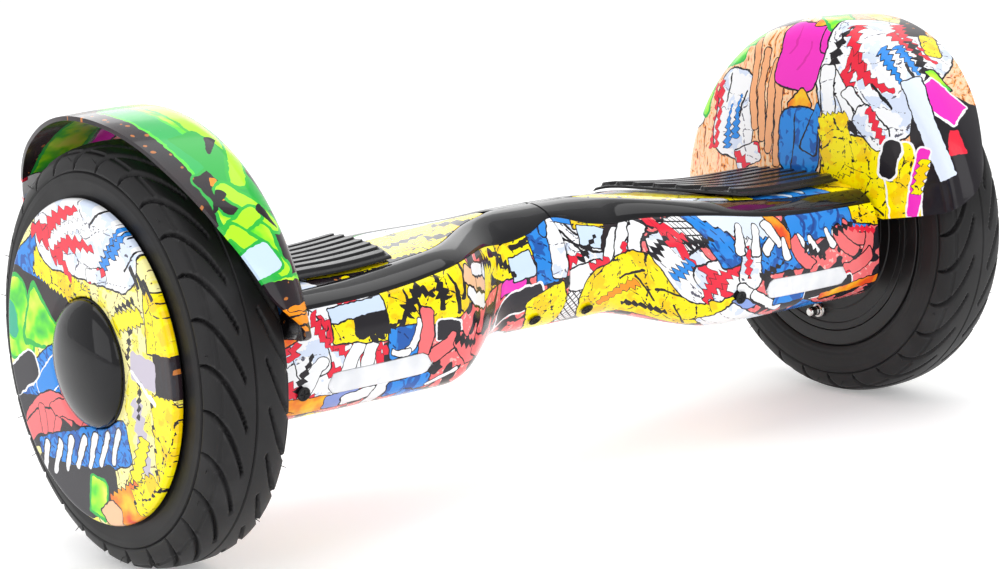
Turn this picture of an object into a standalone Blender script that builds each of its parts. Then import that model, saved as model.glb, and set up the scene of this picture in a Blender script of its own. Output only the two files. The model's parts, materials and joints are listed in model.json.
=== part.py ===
"""Self balancing hoverboard with two ten-inch wheels, as separate sub-parts in metres.

X runs along the wheel axles, the riders' toes point to -Y, Z is up and the wheels stand on z = 0.
Both halves are built by the same functions: `side` is +1 for the right half and -1 for the left.
"""
import math

import bmesh
import bpy
import numpy as np

# ------------------------------------------------------------------ driving dimensions
GAP = 0.0003                    # between neighbouring pieces
WALL = 0.0026                   # moulded shell thickness

TYRE_RADIUS = 0.127             # ten-inch tyre
TYRE_HALF_WIDTH = 0.029
TRACK_HALF = 0.2967             # wheel mid-plane from the board's middle
AXLE_Z = TYRE_RADIUS
AXLE_RADIUS = 0.0095
BORE_RADIUS = AXLE_RADIUS + GAP
DISC_RADIUS = 0.0967            # printed wheel disc
DISC_FACE_X = 0.3325
CAP_RADIUS = 0.0383
CAP_APEX_X = 0.3435

PIVOT_Z = 0.1355                 # twist axis between the two halves
PIVOT_TUBE_RADIUS = 0.011
BODY_INNER_X = 0.0005           # half of the seam between the halves
BODY_OUTER_X = 0.2475
NECK_HALF_DEPTH = 0.040
FOOT_HALF_DEPTH = 0.076
NECK_TOP_Z = 0.176
FOOT_TOP_Z = 0.162
NECK_BOTTOM_Z = 0.095
FOOT_BOTTOM_Z = 0.079
BELLY_FLAT = 0.0012             # the belly is cut flat this far above the section's lowest point
BELLY_EDGE = math.radians(163.0)

FENDER_CROWN = 0.148            # radii about the wheel axle
FENDER_LIP = 0.1465
FENDER_HUB = 0.030
FENDER_CORNER = 0.018
FENDER_CORNER_CENTRE = (0.280, 0.1275)
FENDER_WALL = [(BODY_OUTER_X + GAP, FENDER_HUB), (0.2515, 0.085)]
FENDER_ANGLES = (0.0, 10.0, 20.0, 30.0, 40.0, 50.0, 60.0, 68.0, 73.0, 77.0, 80.0, 81.5, 82.0)
FENDER_END = (68.0, 82.0)       # degrees from the top over which each end rounds off
FENDER_END_SHARE = 0.70         # of the profile that is left at the very end

PAD_OUTER_X = 0.243
PAD_HALF_DEPTH = 0.043
PAD_ENDS = {-1: (0.142, 0.126), 1: (0.150, 0.092)}  # inner end's x at the front and the back, per side
PAD_TRAVEL = 0.001
PAD_LIFT = PAD_TRAVEL + 0.0013  # clear of the deck's facets at full travel
PAD_PLATE = 0.0020
RIB_HEIGHT = 0.0024
RIB_COUNT = 7
OPENING_X = (0.139, 0.216)      # ends of the deck opening under the pad and of the light strip

FRAME_Z = (0.1118, 0.1170)
FRAME_X = (0.052, 0.240)
FRAME_HALF_DEPTH = 0.048
CLAMP_HALF_DEPTH = 0.036
CLAMP_FOOT = 0.006
BLOCK_X = (0.036, 0.064)
BLOCK_HALF_DEPTH = 0.018
BLOCK_Z = (0.1125, 0.1560)

NOSE_X = 0.040                  # inner end of the deck shell, on the neck
EDGE_GAP = math.radians(0.55)   # between the trim and the shells, as a section angle
LENS_ANGLES = (math.radians(94.0), math.radians(110.0))

SOCKET_X = 0.150
BUTTON_X = 0.190
REAR_PORT_Z = 0.121
CAP_HINGE_Z = REAR_PORT_Z + 0.0135
CAP_HINGE_Y = 0.0797

WHEEL_SEGMENTS = 32
SMALL_SEGMENTS = 12

COLOURS = {                     # rgb, roughness, metallic
    "print": ((0.90, 0.75, 0.05), 0.15, 0.0),
    "trim": ((0.01, 0.01, 0.012), 0.12, 0.0),
    "rubber": ((0.02, 0.02, 0.02), 0.55, 0.0),
    "tyre": ((0.025, 0.025, 0.027), 0.65, 0.0),
    "rim": ((0.015, 0.015, 0.017), 0.35, 0.6),
    "cast": ((0.55, 0.55, 0.57), 0.45, 1.0),
    "steel": ((0.62, 0.62, 0.64), 0.30, 1.0),
    "chrome": ((0.85, 0.85, 0.86), 0.10, 1.0),
    "lens": ((0.90, 0.91, 0.93), 0.20, 0.0),
    "board": ((0.02, 0.25, 0.10), 0.45, 0.0),
    "wrap": ((0.05, 0.15, 0.55), 0.40, 0.0),
    "winding": ((0.72, 0.35, 0.15), 0.40, 1.0),
}


# ------------------------------------------------------------------ curves that shape the body
def ease(value, low, high):
    """Smooth step from 0 at low to 1 at high."""
    t = min(max((value - low) / (high - low), 0.0), 1.0)
    return t * t * (3.0 - 2.0 * t)


def through(points, value):
    """Smooth curve through (x, y) points, flat in slope where the run turns round."""
    xs = [p[0] for p in points]
    ys = [p[1] for p in points]
    value = min(max(value, xs[0]), xs[-1])
    i = max(k for k in range(len(xs) - 1) if xs[k] <= value)

    def slope(k):
        if k in (0, len(xs) - 1):
            return 0.0
        before = (ys[k] - ys[k - 1]) / (xs[k] - xs[k - 1])
        after = (ys[k + 1] - ys[k]) / (xs[k + 1] - xs[k])
        return 0.0 if before * after <= 0 else 2.0 * before * after / (before + after)

    width = xs[i + 1] - xs[i]
    t = (value - xs[i]) / width
    h00 = 2 * t ** 3 - 3 * t ** 2 + 1
    h10 = t ** 3 - 2 * t ** 2 + t
    return (h00 * ys[i] + h10 * width * slope(i) + (1 - h00) * ys[i + 1]
            + (t ** 3 - t ** 2) * width * slope(i + 1))


def section(x, angle, inset=0.0):
    """Point (y, z) of the body's section at x. Angle 0 is the top and 90 degrees is the front."""
    foot = ease(x, 0.045, 0.120)
    top = NECK_TOP_Z + (FOOT_TOP_Z - NECK_TOP_Z) * ease(x, 0.020, 0.190)
    bottom = NECK_BOTTOM_Z + (FOOT_BOTTOM_Z - NECK_BOTTOM_Z) * foot
    half_depth = NECK_HALF_DEPTH + (FOOT_HALF_DEPTH - NECK_HALF_DEPTH) * foot - inset
    half_height = (top - bottom) / 2 - inset
    power = 2.0 / (2.0 + 1.6 * foot)
    s, c = math.sin(angle), math.cos(angle)
    y = -half_depth * math.copysign(abs(s) ** power, s)
    z = (top + bottom) / 2 + half_height * math.copysign(abs(c) ** power, c)
    return y, max(z, bottom + inset + BELLY_FLAT * foot)


TRIM_UPPER = [(0.030, 0.0), (0.045, 8.0), (0.060, 13.0), (0.100, 20.0), (0.150, 22.0),
              (0.200, 30.0), (0.250, 34.0)]
TRIM_LOWER = [(0.000, 34.0), (0.025, 48.0), (0.045, 52.0), (0.070, 49.0), (0.100, 49.0),
              (0.150, 54.0), (0.200, 57.0), (0.250, 58.0)]


def trim_edges(x):
    """Angles of the black trim's upper and lower edges at x."""
    return math.radians(through(TRIM_UPPER, x)), math.radians(through(TRIM_LOWER, x))


def deck(x, y):
    """Height of the upper shell over (x, y)."""
    foot = ease(x, 0.045, 0.120)
    half_depth = NECK_HALF_DEPTH + (FOOT_HALF_DEPTH - NECK_HALF_DEPTH) * foot
    power = 2.0 + 1.6 * foot
    top = section(x, 0.0)[1]
    middle = (top + section(x, math.pi)[1]) / 2
    return middle + (top - middle) * (1 - abs(y / half_depth) ** power) ** (1 / power)


# ------------------------------------------------------------------ mesh helpers
def sheet(outer, inner, keep=None):
    """Closed solid between two grids of points. keep(i, j) says which cells exist."""
    rows, columns = len(outer), len(outer[0])
    points = [p for row in outer for p in row]
    verts = points + [p for row in inner for p in row]
    base = rows * columns
    first = {}
    same = [first.setdefault(tuple(round(c, 6) for c in p), k) for k, p in enumerate(points)]
    cells = []
    for i in range(rows - 1):
        for j in range(columns - 1):
            if keep is None or keep(i, j):
                corners = (i * columns + j, i * columns + j + 1,
                           (i + 1) * columns + j + 1, (i + 1) * columns + j)
                cells.append(tuple(dict.fromkeys(same[c] for c in corners)))
    faces = list(cells) + [tuple(base + v for v in reversed(c)) for c in cells]
    directed = {(c[k], c[(k + 1) % len(c)]) for c in cells for k in range(len(c))}
    faces += [(b, a, base + a, base + b) for a, b in sorted(directed) if (b, a) not in directed]
    return verts, faces


def lathe(profile, segments, closed=True):
    """Solid of revolution about X through the origin. The profile holds (x, radius) points."""
    verts, rings = [], []
    for x, radius in profile:
        if radius < 1e-7:
            rings.append([len(verts)] * segments)
            verts.append((x, 0.0, 0.0))
        else:
            rings.append([len(verts) + k for k in range(segments)])
            verts += [(x, radius * math.sin(2 * math.pi * k / segments),
                       radius * math.cos(2 * math.pi * k / segments)) for k in range(segments)]
    faces = []
    count = len(rings) if closed else len(rings) - 1
    for i in range(count):
        a, b = rings[i], rings[(i + 1) % len(rings)]
        for k in range(segments):
            n = (k + 1) % segments
            corners = list(dict.fromkeys((a[k], a[n], b[n], b[k])))
            if len(corners) > 2:
                faces.append(tuple(corners))
    return verts, faces


def prism(outline, low, high, axis="x"):
    """Straight solid of a closed outline, drawn in (y, z) for axis x and in (x, y) for axis z."""
    def place(u, v, w):
        return (w, u, v) if axis == "x" else (u, v, w)

    count = len(outline)
    verts = [place(u, v, w) for w in (low, high) for u, v in outline]
    faces = [tuple(range(count)), tuple(range(2 * count - 1, count - 1, -1))]
    faces += [(k, (k + 1) % count, count + (k + 1) % count, count + k) for k in range(count)]
    return verts, faces


def rounded_rectangle(low, high, radius, steps=3):
    """Outline of a rectangle with rounded corners."""
    points = []
    corners = ((high[0] - radius, high[1] - radius, 0), (low[0] + radius, high[1] - radius, 90),
               (low[0] + radius, low[1] + radius, 180), (high[0] - radius, low[1] + radius, 270))
    for cx, cy, start in corners:
        for k in range(steps + 1):
            a = math.radians(start + 90 * k / steps)
            points.append((cx + radius * math.cos(a), cy + radius * math.sin(a)))
    return points


def moved(shape, offset):
    verts, faces = shape
    return [tuple(c + o for c, o in zip(v, offset)) for v in verts], faces


def turned_to_y(shape):
    """Turns a lathed shape from the X axis to the Y axis."""
    verts, faces = shape
    return [(-y, x, z) for x, y, z in verts], faces


# ------------------------------------------------------------------ scene set-up
for old in list(bpy.data.objects):
    bpy.data.objects.remove(old, do_unlink=True)

MATERIALS = {}


def material(name):
    if name not in MATERIALS:
        colour, roughness, metallic = COLOURS[name]
        made = bpy.data.materials.new(name)
        made.use_nodes = True
        shader = made.node_tree.nodes["Principled BSDF"]
        shader.inputs["Base Color"].default_value = (*colour, 1.0)
        shader.inputs["Roughness"].default_value = roughness
        shader.inputs["Metallic"].default_value = metallic
        made.diffuse_color = (*colour, 1.0)
        MATERIALS[name] = made
    return MATERIALS[name]


def empty(name, location):
    made = bpy.data.objects.new(name, None)
    made.location = location
    bpy.context.scene.collection.objects.link(made)
    return made


def add(name, shape, finish, parent, side=1, smooth_angle=35.0):
    """Adds a named sub-part. The shape is in world coordinates for the right half."""
    verts, faces = shape
    mesh = bpy.data.meshes.new(name)
    mesh.from_pydata([(side * x, y, z) for x, y, z in verts], [], faces)
    work = bmesh.new()
    work.from_mesh(mesh)
    bmesh.ops.remove_doubles(work, verts=work.verts, dist=1e-6)
    loose = [v for v in work.verts if not v.link_faces]
    bmesh.ops.delete(work, geom=loose, context="VERTS")
    bmesh.ops.recalc_face_normals(work, faces=work.faces)
    bmesh.ops.translate(work, verts=work.verts, vec=[-c for c in parent.location])
    work.to_mesh(mesh)
    work.free()
    mesh.shade_smooth()
    mesh.set_sharp_from_angle(angle=math.radians(smooth_angle))
    made = bpy.data.objects.new(name, mesh)
    made.data.materials.append(material(finish))
    made.parent = parent
    bpy.context.scene.collection.objects.link(made)
    return made


def cut(target, name, shape, parent):
    """Boolean difference with a hidden cutter."""
    cutter = add(name, shape, "cast", parent)
    cutter.hide_render = True
    cutter.display_type = "WIRE"
    tool = target.modifiers.new(name, "BOOLEAN")
    tool.operation = "DIFFERENCE"
    tool.object = cutter


# ------------------------------------------------------------------ body shells
def stations():
    """X positions of the shells' rows, closer together where the neck flares out."""
    flare = [0.015, 0.030, NOSE_X, 0.050, 0.061, 0.073, 0.086, 0.101, 0.119]
    return [BODY_INNER_X, *flare, *OPENING_X, BODY_OUTER_X]


def shell_point(x, angle, inset=0.0):
    y, z = section(x, angle, inset)
    return x, y, z


def upper_shell():
    """Deck shell between the front and back trims, with an opening under the foot pad."""
    rows = [x for x in stations() if x > NOSE_X - 1e-6]
    y_lines = (-1.0, -0.72, -0.36, 0.0, 0.36, 0.72, 1.0)

    def row(x, inset):
        edge = trim_edges(x)[0] - EDGE_GAP
        return [shell_point(x, edge * u, inset) for u in y_lines]

    def keep(i, j):
        return rows[i] != OPENING_X[0] or j not in (2, 3)

    return sheet([row(x, 0.0) for x in rows], [row(x, WALL) for x in rows], keep)


def trim():
    """Glossy band that runs along the front and the back and joins over the neck."""
    rows = stations()
    strips = 3

    def row(x, inset):
        upper, lower = trim_edges(x)
        front = [upper + (lower - upper) * k / strips for k in range(strips + 1)]
        return [shell_point(x, a, inset) for a in [-a for a in reversed(front)] + front]

    return sheet([row(x, -0.0008) for x in rows], [row(x, WALL) for x in rows],
                 keep=lambda i, j: j != strips)


def lower_shell():
    """Belly shell with an end wall towards the wheel and an opening for the light strip."""
    rows = stations()
    end_rings = (0.04, 0.30, 0.62)      # how far each ring of the end wall has closed in

    def angles(x, shrink):
        low = trim_edges(x)[1] + EDGE_GAP + (math.radians(3.0) if shrink else 0.0)
        front = [low, (low + LENS_ANGLES[0]) / 2, *LENS_ANGLES, math.radians(138.0), BELLY_EDGE]
        return front + [2 * math.pi - a for a in reversed(front)]

    def ring(x, inset, shrink=0.0):
        middle = (section(x, 0.0)[1] + section(x, math.pi)[1]) / 2
        points = []
        for angle in angles(x, shrink):
            y, z = section(x, angle, inset)
            points.append((x, y * (1 - shrink), middle + (z - middle) * (1 - shrink)))
        return points

    outer = [ring(x, 0.0) for x in rows] + [ring(BODY_OUTER_X, 0.0, f) for f in end_rings]
    inner = [ring(min(x, BODY_OUTER_X - WALL), WALL) for x in rows]
    for f in end_rings:
        inner.append([(BODY_OUTER_X - WALL, y, z) for x, y, z in ring(BODY_OUTER_X, 0.0, f)])

    def keep(i, j):
        if i >= len(rows) - 1:
            return True                 # the end wall
        return rows[i] != OPENING_X[0] or j != 2

    return sheet(outer, inner, keep)


def led_lens():
    """Frosted light strip that fills its opening and stands slightly proud."""
    edge = GAP / FOOT_HALF_DEPTH * 1.6
    rows = [OPENING_X[0] + GAP, OPENING_X[1] - GAP]
    low, high = LENS_ANGLES[0] + edge, LENS_ANGLES[1] - edge
    angles = [low, (low + high) / 2, high]
    return sheet([[shell_point(x, a, -0.0006) for a in angles] for x in rows],
                 [[shell_point(x, a, WALL) for a in angles] for x in rows])


# ------------------------------------------------------------------ fender
LIP_X = [(0.0, 0.3275), (30.0, 0.3200), (50.0, 0.3080), (62.0, 0.2970), (70.0, 0.2900), (81.0, 0.2830)]


def fender_share(degrees):
    """Share of the mudguard's profile that is left at an angle from the top: its ends are rounded."""
    past = max(degrees - FENDER_END[0], 0.0) / (FENDER_END[1] - FENDER_END[0])
    return FENDER_END_SHARE + (1 - FENDER_END_SHARE) * math.sqrt(1 - past * past)


def fender():
    """Mudguard: an inner wall beside the tyre that turns over its crown to a curved lip."""
    def profile(degrees, inset):
        lip = through(LIP_X, abs(degrees))
        corner_x, corner_r = FENDER_CORNER_CENTRE
        radius = FENDER_CORNER - inset
        points = [(x + inset, r) for x, r in FENDER_WALL]
        for a in np.radians((180, 145, 120, 90)):
            points.append((corner_x + radius * math.cos(a), corner_r + radius * math.sin(a)))
        for t, r in ((0.45, FENDER_CROWN), (1.0, FENDER_LIP)):
            points.append((corner_x + (lip - corner_x) * t, r - inset))
        line = np.array(points)
        reach = np.concatenate([[0.0], np.cumsum(np.linalg.norm(np.diff(line, axis=0), axis=1))])
        kept = reach * fender_share(abs(degrees))
        s, c = math.sin(math.radians(degrees)), math.cos(math.radians(degrees))
        return [(np.interp(k, reach, line[:, 0]), -np.interp(k, reach, line[:, 1]) * s,
                 AXLE_Z + np.interp(k, reach, line[:, 1]) * c) for k in kept]

    angles = [-a for a in reversed(FENDER_ANGLES[1:])] + list(FENDER_ANGLES)
    return sheet([profile(a, 0.0) for a in angles], [profile(a, WALL) for a in angles])


# ------------------------------------------------------------------ foot pad and its sensor
def footpad(side):
    """Ribbed pad that rests a little above the deck and reaches through the opening."""
    front_x, back_x = PAD_ENDS[side]
    pitch = 2 * PAD_HALF_DEPTH / (RIB_COUNT + 0.4)
    lines = [(-PAD_HALF_DEPTH, 0.0)]
    for k in range(RIB_COUNT):
        start = -PAD_HALF_DEPTH + pitch * (k + 0.35)
        lines += [(start, 0.0), (start + 0.001, RIB_HEIGHT), (start + 0.6 * pitch, RIB_HEIGHT),
                  (start + 0.6 * pitch + 0.001, 0.0)]
    lines.append((PAD_HALF_DEPTH, 0.0))
    top, bottom = [], []
    for y, height in lines:
        from_back = (1 - y / PAD_HALF_DEPTH) / 2
        nose = back_x + (front_x - back_x) * from_back ** 2
        xs = [nose + (PAD_OUTER_X - nose) * t for t in (0.0, 0.12, 0.26, 0.5, 1.0)]
        bottom.append([(x, y, deck(x, y) + PAD_LIFT) for x in xs])
        top.append([(x, y, deck(x, y) + PAD_LIFT + PAD_PLATE + height) for x in xs])
    return sheet(top, bottom)


def pad_boss():
    """Block under the pad that carries the tread load to the sensor."""
    return prism(rounded_rectangle((OPENING_X[0] + 0.002, -0.0165), (OPENING_X[1] - 0.002, 0.0165), 0.004),
                 0.1545, 0.1648, axis="z")


# ------------------------------------------------------------------ wheel pieces, about the axle
def tyre():
    half = [(0.0, 0.127), (0.0150, 0.1257), (0.0240, 0.1215), (0.0290, 0.1080), (0.0270, 0.0912),
            (0.0244, 0.0909), (0.0244, 0.0872)]
    mirrored = [(-x, r) for x, r in reversed(half[1:])]
    return lathe([(TRACK_HALF + x, r) for x, r in half + mirrored], WHEEL_SEGMENTS)


def rim():
    """Motor drum with two bead flanges and its outer end plate."""
    profile = [(0.2700, 0.0800), (0.2700, 0.0905), (0.2720, 0.0905), (0.2720, 0.0868),
               (0.3214, 0.0868), (0.3214, 0.0905), (0.3236, 0.0905), (0.3236, 0.0161),
               (0.3130, 0.0161), (0.3190, 0.0260), (0.3190, 0.0800)]
    return lathe(profile, WHEEL_SEGMENTS)


def motor_cover():
    profile = [(0.2680, 0.0161), (0.2680, 0.0220), (0.2705, 0.0300), (0.2705, 0.0796),
               (0.2745, 0.0796), (0.2775, 0.0161)]
    return lathe(profile, WHEEL_SEGMENTS)


def hub_cover():
    profile = [(0.3240, CAP_RADIUS + 0.0006), (0.3240, 0.0500), (0.3264, 0.0560), (0.3264, DISC_RADIUS),
               (0.3308, DISC_RADIUS), (DISC_FACE_X, 0.0950), (0.3308, CAP_RADIUS + 0.0006)]
    return lathe(profile, WHEEL_SEGMENTS)


def centre_cap():
    base_x, wall = 0.3300, 0.0025
    rise = CAP_APEX_X - base_x
    arc = [(base_x + rise * math.sin(a), CAP_RADIUS * math.cos(a))
           for a in np.radians([0, 30, 60, 90])]
    hollow = [(base_x + (rise - wall) * math.sin(a), (CAP_RADIUS - wall) * math.cos(a))
              for a in np.radians([90, 45, 0])]
    profile = [(0.3245, CAP_RADIUS)] + arc + hollow + [(0.3245, CAP_RADIUS - wall)]
    return lathe(profile, WHEEL_SEGMENTS)


def bearing(low, high):
    return lathe([(low, BORE_RADIUS), (low, 0.0158), (high, 0.0158), (high, BORE_RADIUS)],
                 SMALL_SEGMENTS * 2)


def stator():
    return lathe([(0.2830, BORE_RADIUS), (0.2800, 0.0420), (0.2800, 0.0745), (0.3110, 0.0745),
                  (0.3110, 0.0420), (0.3090, BORE_RADIUS)], WHEEL_SEGMENTS)


def axle():
    return lathe([(0.2050, 0.0), (0.2050, 0.0085), (0.2060, AXLE_RADIUS), (0.3210, AXLE_RADIUS),
                  (0.3220, 0.0085), (0.3220, 0.0)], SMALL_SEGMENTS * 2, closed=False)


def valve():
    return lathe([(0.2700, 0.0), (0.2700, 0.0050), (0.2672, 0.0050), (0.2668, 0.0034),
                  (0.2590, 0.0034), (0.2584, 0.0026), (0.2584, 0.0)], SMALL_SEGMENTS, closed=False)


# ------------------------------------------------------------------ frame and internals
def frame_outline():
    """Plan view of the cast plate, from the pivot block out to the axle clamp."""
    narrow = 0.022
    return [(FRAME_X[0], -narrow), (0.100, -narrow - 0.006), (0.125, -FRAME_HALF_DEPTH),
            (FRAME_X[1], -FRAME_HALF_DEPTH), (FRAME_X[1], FRAME_HALF_DEPTH),
            (0.125, FRAME_HALF_DEPTH), (0.100, narrow + 0.006), (FRAME_X[0], narrow)]


def block_outline():
    return [(-BLOCK_HALF_DEPTH, BLOCK_Z[0]), (BLOCK_HALF_DEPTH, BLOCK_Z[0]),
            (BLOCK_HALF_DEPTH, BLOCK_Z[1] - 0.006), (BLOCK_HALF_DEPTH - 0.006, BLOCK_Z[1]),
            (-BLOCK_HALF_DEPTH + 0.006, BLOCK_Z[1]), (-BLOCK_HALF_DEPTH, BLOCK_Z[1] - 0.006)]


def clamp_outline():
    """Bridge over the axle: feet on the plate and a half-round seat."""
    seat = AXLE_RADIUS + GAP
    foot_z = FRAME_Z[1] + GAP
    arc = [(-seat * math.cos(a), AXLE_Z + seat * math.sin(a)) for a in np.radians(range(0, 181, 20))]
    return ([(-CLAMP_HALF_DEPTH, foot_z), (-seat, foot_z)] + arc
            + [(seat, foot_z), (CLAMP_HALF_DEPTH, foot_z), (CLAMP_HALF_DEPTH, foot_z + CLAMP_FOOT),
               (0.020, foot_z + CLAMP_FOOT), (0.015, 0.1420), (-0.015, 0.1420),
               (-0.020, foot_z + CLAMP_FOOT), (-CLAMP_HALF_DEPTH, foot_z + CLAMP_FOOT)])


def bolt(x, y, low, head):
    shape = lathe([(low, 0.0), (low, 0.0042), (low + head, 0.0042), (low + head + 0.0008, 0.0034),
                   (low + head + 0.0008, 0.0)], 12, closed=False)
    verts, faces = shape
    return [(x + v[1], y + v[2], v[0]) for v in verts], faces


def slab(x_range, half_depth, z_range, radius=0.003):
    low, high = (x_range[0], -half_depth), (x_range[1], half_depth)
    return prism(rounded_rectangle(low, high, radius, 2), *z_range, axis="z")


def plug(x, angle):
    """Round screw plug that caps a screw well in the belly shell."""
    step = 1e-4
    y, z = section(x, angle)
    y1, z1 = section(x, angle + step)
    y2, z2 = section(x, angle - step)
    tangent = np.array([0.0, y1 - y2, z1 - z2])
    tangent /= np.linalg.norm(tangent)
    normal = np.array([0.0, tangent[2], -tangent[1]])
    if normal[1] * y < 0:
        normal = -normal
    along = np.cross(normal, tangent)
    verts, faces = lathe([(0.0010, 0.0), (0.0010, 0.0044), (0.0018, 0.0044), (0.0023, 0.0032),
                          (0.0023, 0.0)], 12, closed=False)
    middle = np.array([x, y, z])
    return [tuple(middle + normal * v[0] + tangent * v[1] + along * v[2]) for v in verts], faces


# ------------------------------------------------------------------ assembly
def build_half(side, name, body):
    def put(part, shape, finish, parent=body, **options):
        return add(f"{name}_{part}", shape, finish, parent, side, **options)

    at_axle = (0.0, 0.0, AXLE_Z)
    wheel = empty(f"{name}_wheel_axis", (side * TRACK_HALF, 0.0, AXLE_Z))
    pad = empty(f"{name}_pad_axis", (side * 0.18, 0.0, FOOT_TOP_Z))

    put("upper_shell", upper_shell(), "print")
    put("lower_shell", lower_shell(), "print")
    put("fender", fender(), "print")
    put("trim", trim(), "trim")
    put("led_lens", led_lens(), "lens")

    frame = put("frame", prism(frame_outline(), *FRAME_Z, axis="z"), "cast")
    block = put("block", prism(block_outline(), *BLOCK_X), "cast")
    block.hide_render = True
    block.display_type = "WIRE"
    union = frame.modifiers.new("pivot_block", "BOOLEAN")
    union.operation = "UNION"
    union.object = block
    bore = (PIVOT_TUBE_RADIUS if side < 0 else PIVOT_TUBE_RADIUS + 0.0035) + GAP
    hole = put("pivot_bore", moved(lathe([(0.030, 0.0), (0.030, bore), (0.070, bore), (0.070, 0.0)],
                                         SMALL_SEGMENTS * 2, closed=False), (0, 0, PIVOT_Z)), "cast")
    hole.hide_render = True
    hole.display_type = "WIRE"
    drill = frame.modifiers.new("pivot_bore", "BOOLEAN")
    drill.operation = "DIFFERENCE"
    drill.object = hole

    put("axle", moved(axle(), at_axle), "steel")
    put("axle_clamp", prism(clamp_outline(), 0.208, 0.238), "cast")
    for part, y in (("front", -0.028), ("back", 0.028)):
        seat_z = FRAME_Z[1] + CLAMP_FOOT + 2 * GAP
        put(f"clamp_bolt_{part}", bolt(0.223, y, seat_z, 0.004), "steel")
    put("stator", moved(stator(), at_axle), "winding")
    put("sensor_board", slab((0.130, 0.228), 0.028, (0.1450, 0.1466)), "board")
    for part, x in (("inner", 0.150), ("outer", 0.208)):
        put(f"sensor_post_{part}", bolt(x, 0.0, 0.1469, 0.0045), "rubber")
    put("plug_inner", plug(0.022, math.radians(136.0)), "rubber")
    put("plug_outer", plug(0.116 if side > 0 else 0.234, math.radians(103.0)), "rubber")

    pad_object = put("footpad", footpad(side), "rubber", pad)
    boss = put("pad_boss", pad_boss(), "rubber", pad)
    boss.hide_render = True
    boss.display_type = "WIRE"
    join = pad_object.modifiers.new("boss", "BOOLEAN")
    join.operation = "UNION"
    join.object = boss

    put("tyre", moved(tyre(), at_axle), "tyre", wheel)
    put("rim", moved(rim(), at_axle), "rim", wheel)
    put("motor_cover", moved(motor_cover(), at_axle), "rim", wheel)
    put("hub_cover", moved(hub_cover(), at_axle), "print", wheel)
    put("centre_cap", moved(centre_cap(), at_axle), "trim", wheel)
    put("bearing_inner", moved(bearing(0.2705, 0.2775), at_axle), "steel", wheel)
    put("bearing_outer", moved(bearing(0.3130, 0.3200), at_axle), "steel", wheel)
    put("valve", moved(valve(), (0.0, 0.006, AXLE_Z - 0.066)), "chrome", wheel)


def build_middle(left, right):
    tube = [(-0.0640, 0.0080), (-0.0640, PIVOT_TUBE_RADIUS), (0.0720, PIVOT_TUBE_RADIUS),
            (0.0720, 0.0080)]
    at_pivot = (0.0, 0.0, PIVOT_Z)
    add("pivot_tube", moved(lathe(tube, SMALL_SEGMENTS * 2), at_pivot), "steel", left)
    bush_low, bush_high = PIVOT_TUBE_RADIUS + GAP, PIVOT_TUBE_RADIUS + 0.0035
    bush = [(0.0365, bush_low), (0.0365, bush_high), (0.0635, bush_high), (0.0635, bush_low)]
    add("pivot_bush", moved(lathe(bush, SMALL_SEGMENTS * 2), at_pivot), "rubber", right)
    clip = [(0.0665, bush_low), (0.0665, 0.0155), (0.0680, 0.0155), (0.0680, bush_low)]
    add("pivot_circlip", moved(lathe(clip, SMALL_SEGMENTS * 2), at_pivot), "steel", left)

    add("battery_pack", slab((0.122, 0.232), 0.034, (0.0868, 0.1114), 0.006), "wrap", right)
    add("main_board", slab((0.095, 0.195), 0.036, (0.1210, 0.1226)), "board", left, side=-1)

    shell = bpy.data.objects["right_lower_shell"]
    for name, x, radius in (("socket_hole", SOCKET_X, 0.0093), ("button_hole", BUTTON_X, 0.0062)):
        hole = lathe([(0.060, 0.0), (0.060, radius), (0.090, radius), (0.090, 0.0)], 24, closed=False)
        cut(shell, name, moved(turned_to_y(hole), (x, 0.0, REAR_PORT_Z)), right)
    socket = lathe([(0.0620, 0.0), (0.0620, 0.0090), (0.0766, 0.0090), (0.0766, 0.0115),
                    (0.0784, 0.0115), (0.0784, 0.0068), (0.0680, 0.0068), (0.0680, 0.0)], 24,
                   closed=False)
    add("charge_socket", moved(turned_to_y(socket), (SOCKET_X, 0.0, REAR_PORT_Z)), "trim", right)
    button_axis = empty("power_button_axis", (BUTTON_X, FOOT_HALF_DEPTH, REAR_PORT_Z))
    button = lathe([(0.0660, 0.0), (0.0660, 0.0058), (0.0782, 0.0058), (0.0790, 0.0048),
                    (0.0790, 0.0)], 24, closed=False)
    add("power_button", moved(turned_to_y(button), (BUTTON_X, 0.0, REAR_PORT_Z)), "rubber", button_axis)

    hinge = empty("charge_cap_axis", (SOCKET_X, CAP_HINGE_Y, CAP_HINGE_Z))
    outline = [(0.0110 * math.cos(a), 0.0110 * math.sin(a)) for a in np.radians(range(120, 421, 20))]
    outline += [(0.005, 0.0145), (-0.005, 0.0145)]
    verts, faces = prism(outline, 0.0787, 0.0807)
    flap = [(SOCKET_X + y, x, REAR_PORT_Z + z) for x, y, z in verts], faces
    add("charge_cap", flap, "rubber", hinge)


def build():
    left = empty("left_half", (0.0, 0.0, PIVOT_Z))
    right = empty("right_half", (0.0, 0.0, PIVOT_Z))
    build_half(-1, "left", left)
    build_half(1, "right", right)
    build_middle(left, right)


build()
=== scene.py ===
"""Looks of the self balancing hoverboard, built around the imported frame.

X runs along the axles, -Y is the front with the light strips, Z is up, all in metres. The body's
section, the black trim's course and the mudguard follow the same curves as the CAD model, at a finer step.
"""
import json
import math

import bmesh
import bpy
import numpy as np
from mathutils import Matrix, Vector

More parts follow.
